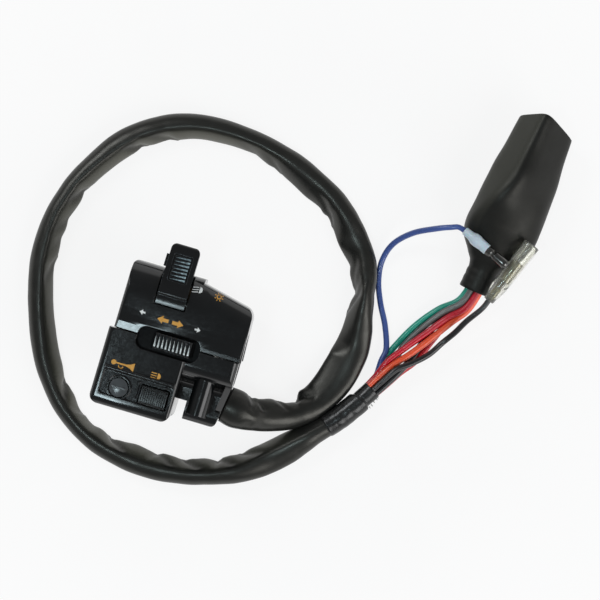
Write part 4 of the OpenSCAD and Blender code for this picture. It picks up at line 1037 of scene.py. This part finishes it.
def printed(name, outlines, at, finish, turn=0.0):
    """Lays flat outlines, in millimetres round a place, onto the housing below."""
    host = nodes["upper_housing"] if at[1] > 0 else nodes["lower_housing"]
    below = BVHTree.FromPolygons(
        [v.co for v in host.data.vertices], [p.vertices for p in host.data.polygons])
    c = math.cos(math.radians(turn))
    s = math.sin(math.radians(turn))
    bm = bmesh.new()
    for outline in outlines:
        flat = [(at[0] + c * x - s * y, at[1] + s * x + c * y) for x, y in outline]
        bm.faces.new([bm.verts.new((x * MM, y * MM, 0)) for x, y in flat])
    low = min(v.co.y for v in bm.verts)
    high = max(v.co.y for v in bm.verts)
    cut = low + SIGN_STRIP
    while cut < high:
        bmesh.ops.bisect_plane(
            bm, geom=bm.verts[:] + bm.edges[:] + bm.faces[:], plane_co=(0, cut, 0), plane_no=(0, 1, 0))
        cut += SIGN_STRIP
    bmesh.ops.triangulate(bm, faces=bm.faces)
    for v in bm.verts:
        hit = below.ray_cast(Vector((v.co.x, v.co.y, LOOK_FROM)), Vector((0, 0, -1)))
        v.co.z = hit[0].z + SIGN_PROUD
    made = bmesh.ops.extrude_face_region(bm, geom=bm.faces[:])["geom"]
    for v in made:
        if isinstance(v, bmesh.types.BMVert):
            v.co.z -= SIGN_THICK
    bmesh.ops.recalc_face_normals(bm, faces=bm.faces)
    mesh = bpy.data.meshes.new(name)
    bm.to_mesh(mesh)
    bm.free()
    mesh.materials.append(finish)
    obj = placed(name, mesh)
    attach(obj, "housing")


def arrow(way):
    """A small arrow, to the right for 1 and to the left for -1."""
    outline = [
        (1.1, 0), (-0.1, 1.0), (-0.1, 0.35), (-1.1, 0.35), (-1.1, -0.35), (-0.1, -0.35), (-0.1, -1.0)]
    return [(x * way, y) for x, y in outline]


def lamp_with_beams(tilt):
    """A lamp's half disc with three beams to its left, which slope by tilt."""
    out = [arc(0.5, 0, 1.2, -90, 90, 12)]
    for y in (-0.9, 0, 0.9):
        out.append(bar(-2.0, y - tilt, 0.1, y, STROKE))
    return out


wide_arrows = [
    [(-5, 0), (-2.9, 1.5), (-2.9, 0.65), (-0.7, 0.65), (-0.7, -0.65), (-2.9, -0.65), (-2.9, -1.5)],
    [(5, 0), (2.9, -1.5), (2.9, -0.65), (0.7, -0.65), (0.7, 0.65), (2.9, 0.65), (2.9, 1.5)]]
trumpet = [
    [(-2.6, 0.28), (-2.6, -0.28), (1.2, -0.32), (2.8, -0.75), (4.3, -1.6), (4.3, 1.6), (2.8, 0.75),
     (1.2, 0.32)],
    arc(-3.5, 0, 0.95, 0, 330, 18), ring_part(-0.6, -0.75, 0.85, STROKE, 180, 360)]
sun = [ring_part(0, 0, 0.75, 0.36, 0, 180), ring_part(0, 0, 0.75, 0.36, 180, 360)]
for step in range(8):
    a = math.radians(45 * step)
    sun.append(bar(1.15 * math.cos(a), 1.15 * math.sin(a), 1.7 * math.cos(a), 1.7 * math.sin(a), STROKE))

printed("sign_turn", wide_arrows, (-5, 7.6), PRINT_AMBER)
printed("sign_left", [arrow(-1)], (-15.9, 8.2), PRINT_WHITE)
printed("sign_right", [arrow(1)], (5.5, 7.6), PRINT_WHITE)
printed("sign_horn", trumpet, (-17.3, -12.4), PRINT_AMBER)
printed("sign_flash", lamp_with_beams(0), (-4.3, -13.0), PRINT_AMBER)
printed("sign_low_beam", lamp_with_beams(0.5), (1.4, 22.0), PRINT_WHITE)
printed("sign_lights", sun, (9.6, 21.6), PRINT_AMBER, turn=-17.2)


# Floor, light and camera

# The photograph's turn about the vertical, and the point at the middle of its frame
VIEW_TURN = math.radians(16.5)
CENTRE = Vector((38.67, 29.02, 0))
IMAGE_RIGHT = Vector((math.cos(VIEW_TURN), math.sin(VIEW_TURN), 0))
IMAGE_UP = Vector((-math.sin(VIEW_TURN), math.cos(VIEW_TURN), 0))
CAMERA_HEIGHT = 0.88
SENSOR = 36
LENS = 139.3
FLOOR_HALF = 2.5
# The share of the floor's look that its white glow has, at these distances in metres from the object
GLOW_FROM = (0.08, 0.32)
GLOW_SHARE = (0.85, 1.0)


def pale_floor():
    """A painted floor, seen as nearly white by the camera and in reflections."""
    mesh = bpy.data.meshes.new("floor")
    corners = ((-1, -1), (1, -1), (1, 1), (-1, 1))
    verts = [(x * FLOOR_HALF, y * FLOOR_HALF, TABLE * MM) for x, y in corners]
    mesh.from_pydata(verts, [], [(0, 1, 2, 3)])
    obj = placed("floor", mesh)
    mat = bpy.data.materials.new("pale_floor")
    mat.use_nodes = True
    tree = mat.node_tree
    tree.nodes.remove(tree.nodes["Principled BSDF"])
    paint = tree.nodes.new("ShaderNodeBsdfDiffuse")
    tones = ((0.86, 0.86, 0.86), (0.9, 0.9, 0.9))
    link(tree, ramp(tree, speckle(tree, 30), list(zip(NOISE, tones))), paint.inputs["Color"])
    glow = tree.nodes.new("ShaderNodeEmission")
    ray = tree.nodes.new("ShaderNodeLightPath").outputs
    seen = combine(tree, "MAXIMUM", ray["Is Camera Ray"], ray["Is Glossy Ray"])
    seen = combine(tree, "MAXIMUM", seen, ray["Is Transmission Ray"])
    reach = tree.nodes.new("ShaderNodeVectorMath")
    reach.operation = "DISTANCE"
    link(tree, tree.nodes.new("ShaderNodeTexCoord").outputs["Object"], reach.inputs[0])
    reach.inputs[1].default_value = (CENTRE.x * MM, CENTRE.y * MM, TABLE * MM)
    away = remap(tree, reach.outputs["Value"], GLOW_FROM, GLOW_SHARE)
    mix = tree.nodes.new("ShaderNodeMixShader")
    link(tree, combine(tree, "MULTIPLY", seen, away), mix.inputs[0])
    link(tree, paint.outputs["BSDF"], mix.inputs[1])
    link(tree, glow.outputs["Emission"], mix.inputs[2])
    link(tree, mix.outputs["Shader"], tree.nodes["Material Output"].inputs["Surface"])
    mesh.materials.append(mat)


def studio_world():
    """Pale walls all round and a dimmer ceiling."""
    world = bpy.data.worlds.new("studio")
    bpy.context.scene.world = world
    world.use_nodes = True
    tree = world.node_tree
    way = tree.nodes.new("ShaderNodeTexCoord").outputs["Generated"]
    split = tree.nodes.new("ShaderNodeSeparateXYZ")
    link(tree, way, split.inputs["Vector"])
    walls = ramp(tree, split.outputs["Z"], [
        (0.0, (1, 1, 1)), (0.1, (0.9, 0.9, 0.9)), (0.22, (0.3, 0.3, 0.3)), (1.0, (0.16, 0.165, 0.17))])
    link(tree, walls, tree.nodes["Background"].inputs["Color"])


def softbox(name, watts, size, right, up, height, tint=(1, 1, 1)):
    """A lamp placed by the photograph's axes, in metres from the object, and aimed at it."""
    data = bpy.data.lights.new(name, "AREA")
    data.energy = watts
    data.size = size
    data.color = tint
    obj = placed(name, data)
    aim = CENTRE * MM
    obj.location = aim + right * IMAGE_RIGHT + up * IMAGE_UP + Vector((0, 0, height))
    obj.rotation_euler = (aim - obj.location).to_track_quat("-Z", "Y").to_euler()


pale_floor()
studio_world()
softbox("overhead", 3.2, 0.22, -0.33, -0.24, 1.5, (0.76, 0.94, 1.0))
softbox("left", 3.4, 0.4, -0.62, 0.62, 0.82, (0.95, 0.98, 1.0))
softbox("right", 7.6, 0.8, 0.8, -0.6, 0.75)

camera_data = bpy.data.cameras.new("camera")
camera_data.sensor_width = SENSOR
camera_data.lens = LENS
camera = placed("camera", camera_data)
camera.location = (CENTRE.x * MM, CENTRE.y * MM, CAMERA_HEIGHT)
camera.rotation_euler = (0, 0, VIEW_TURN)
bpy.context.scene.camera = camera
bpy.context.scene.view_settings.view_transform = "Standard"
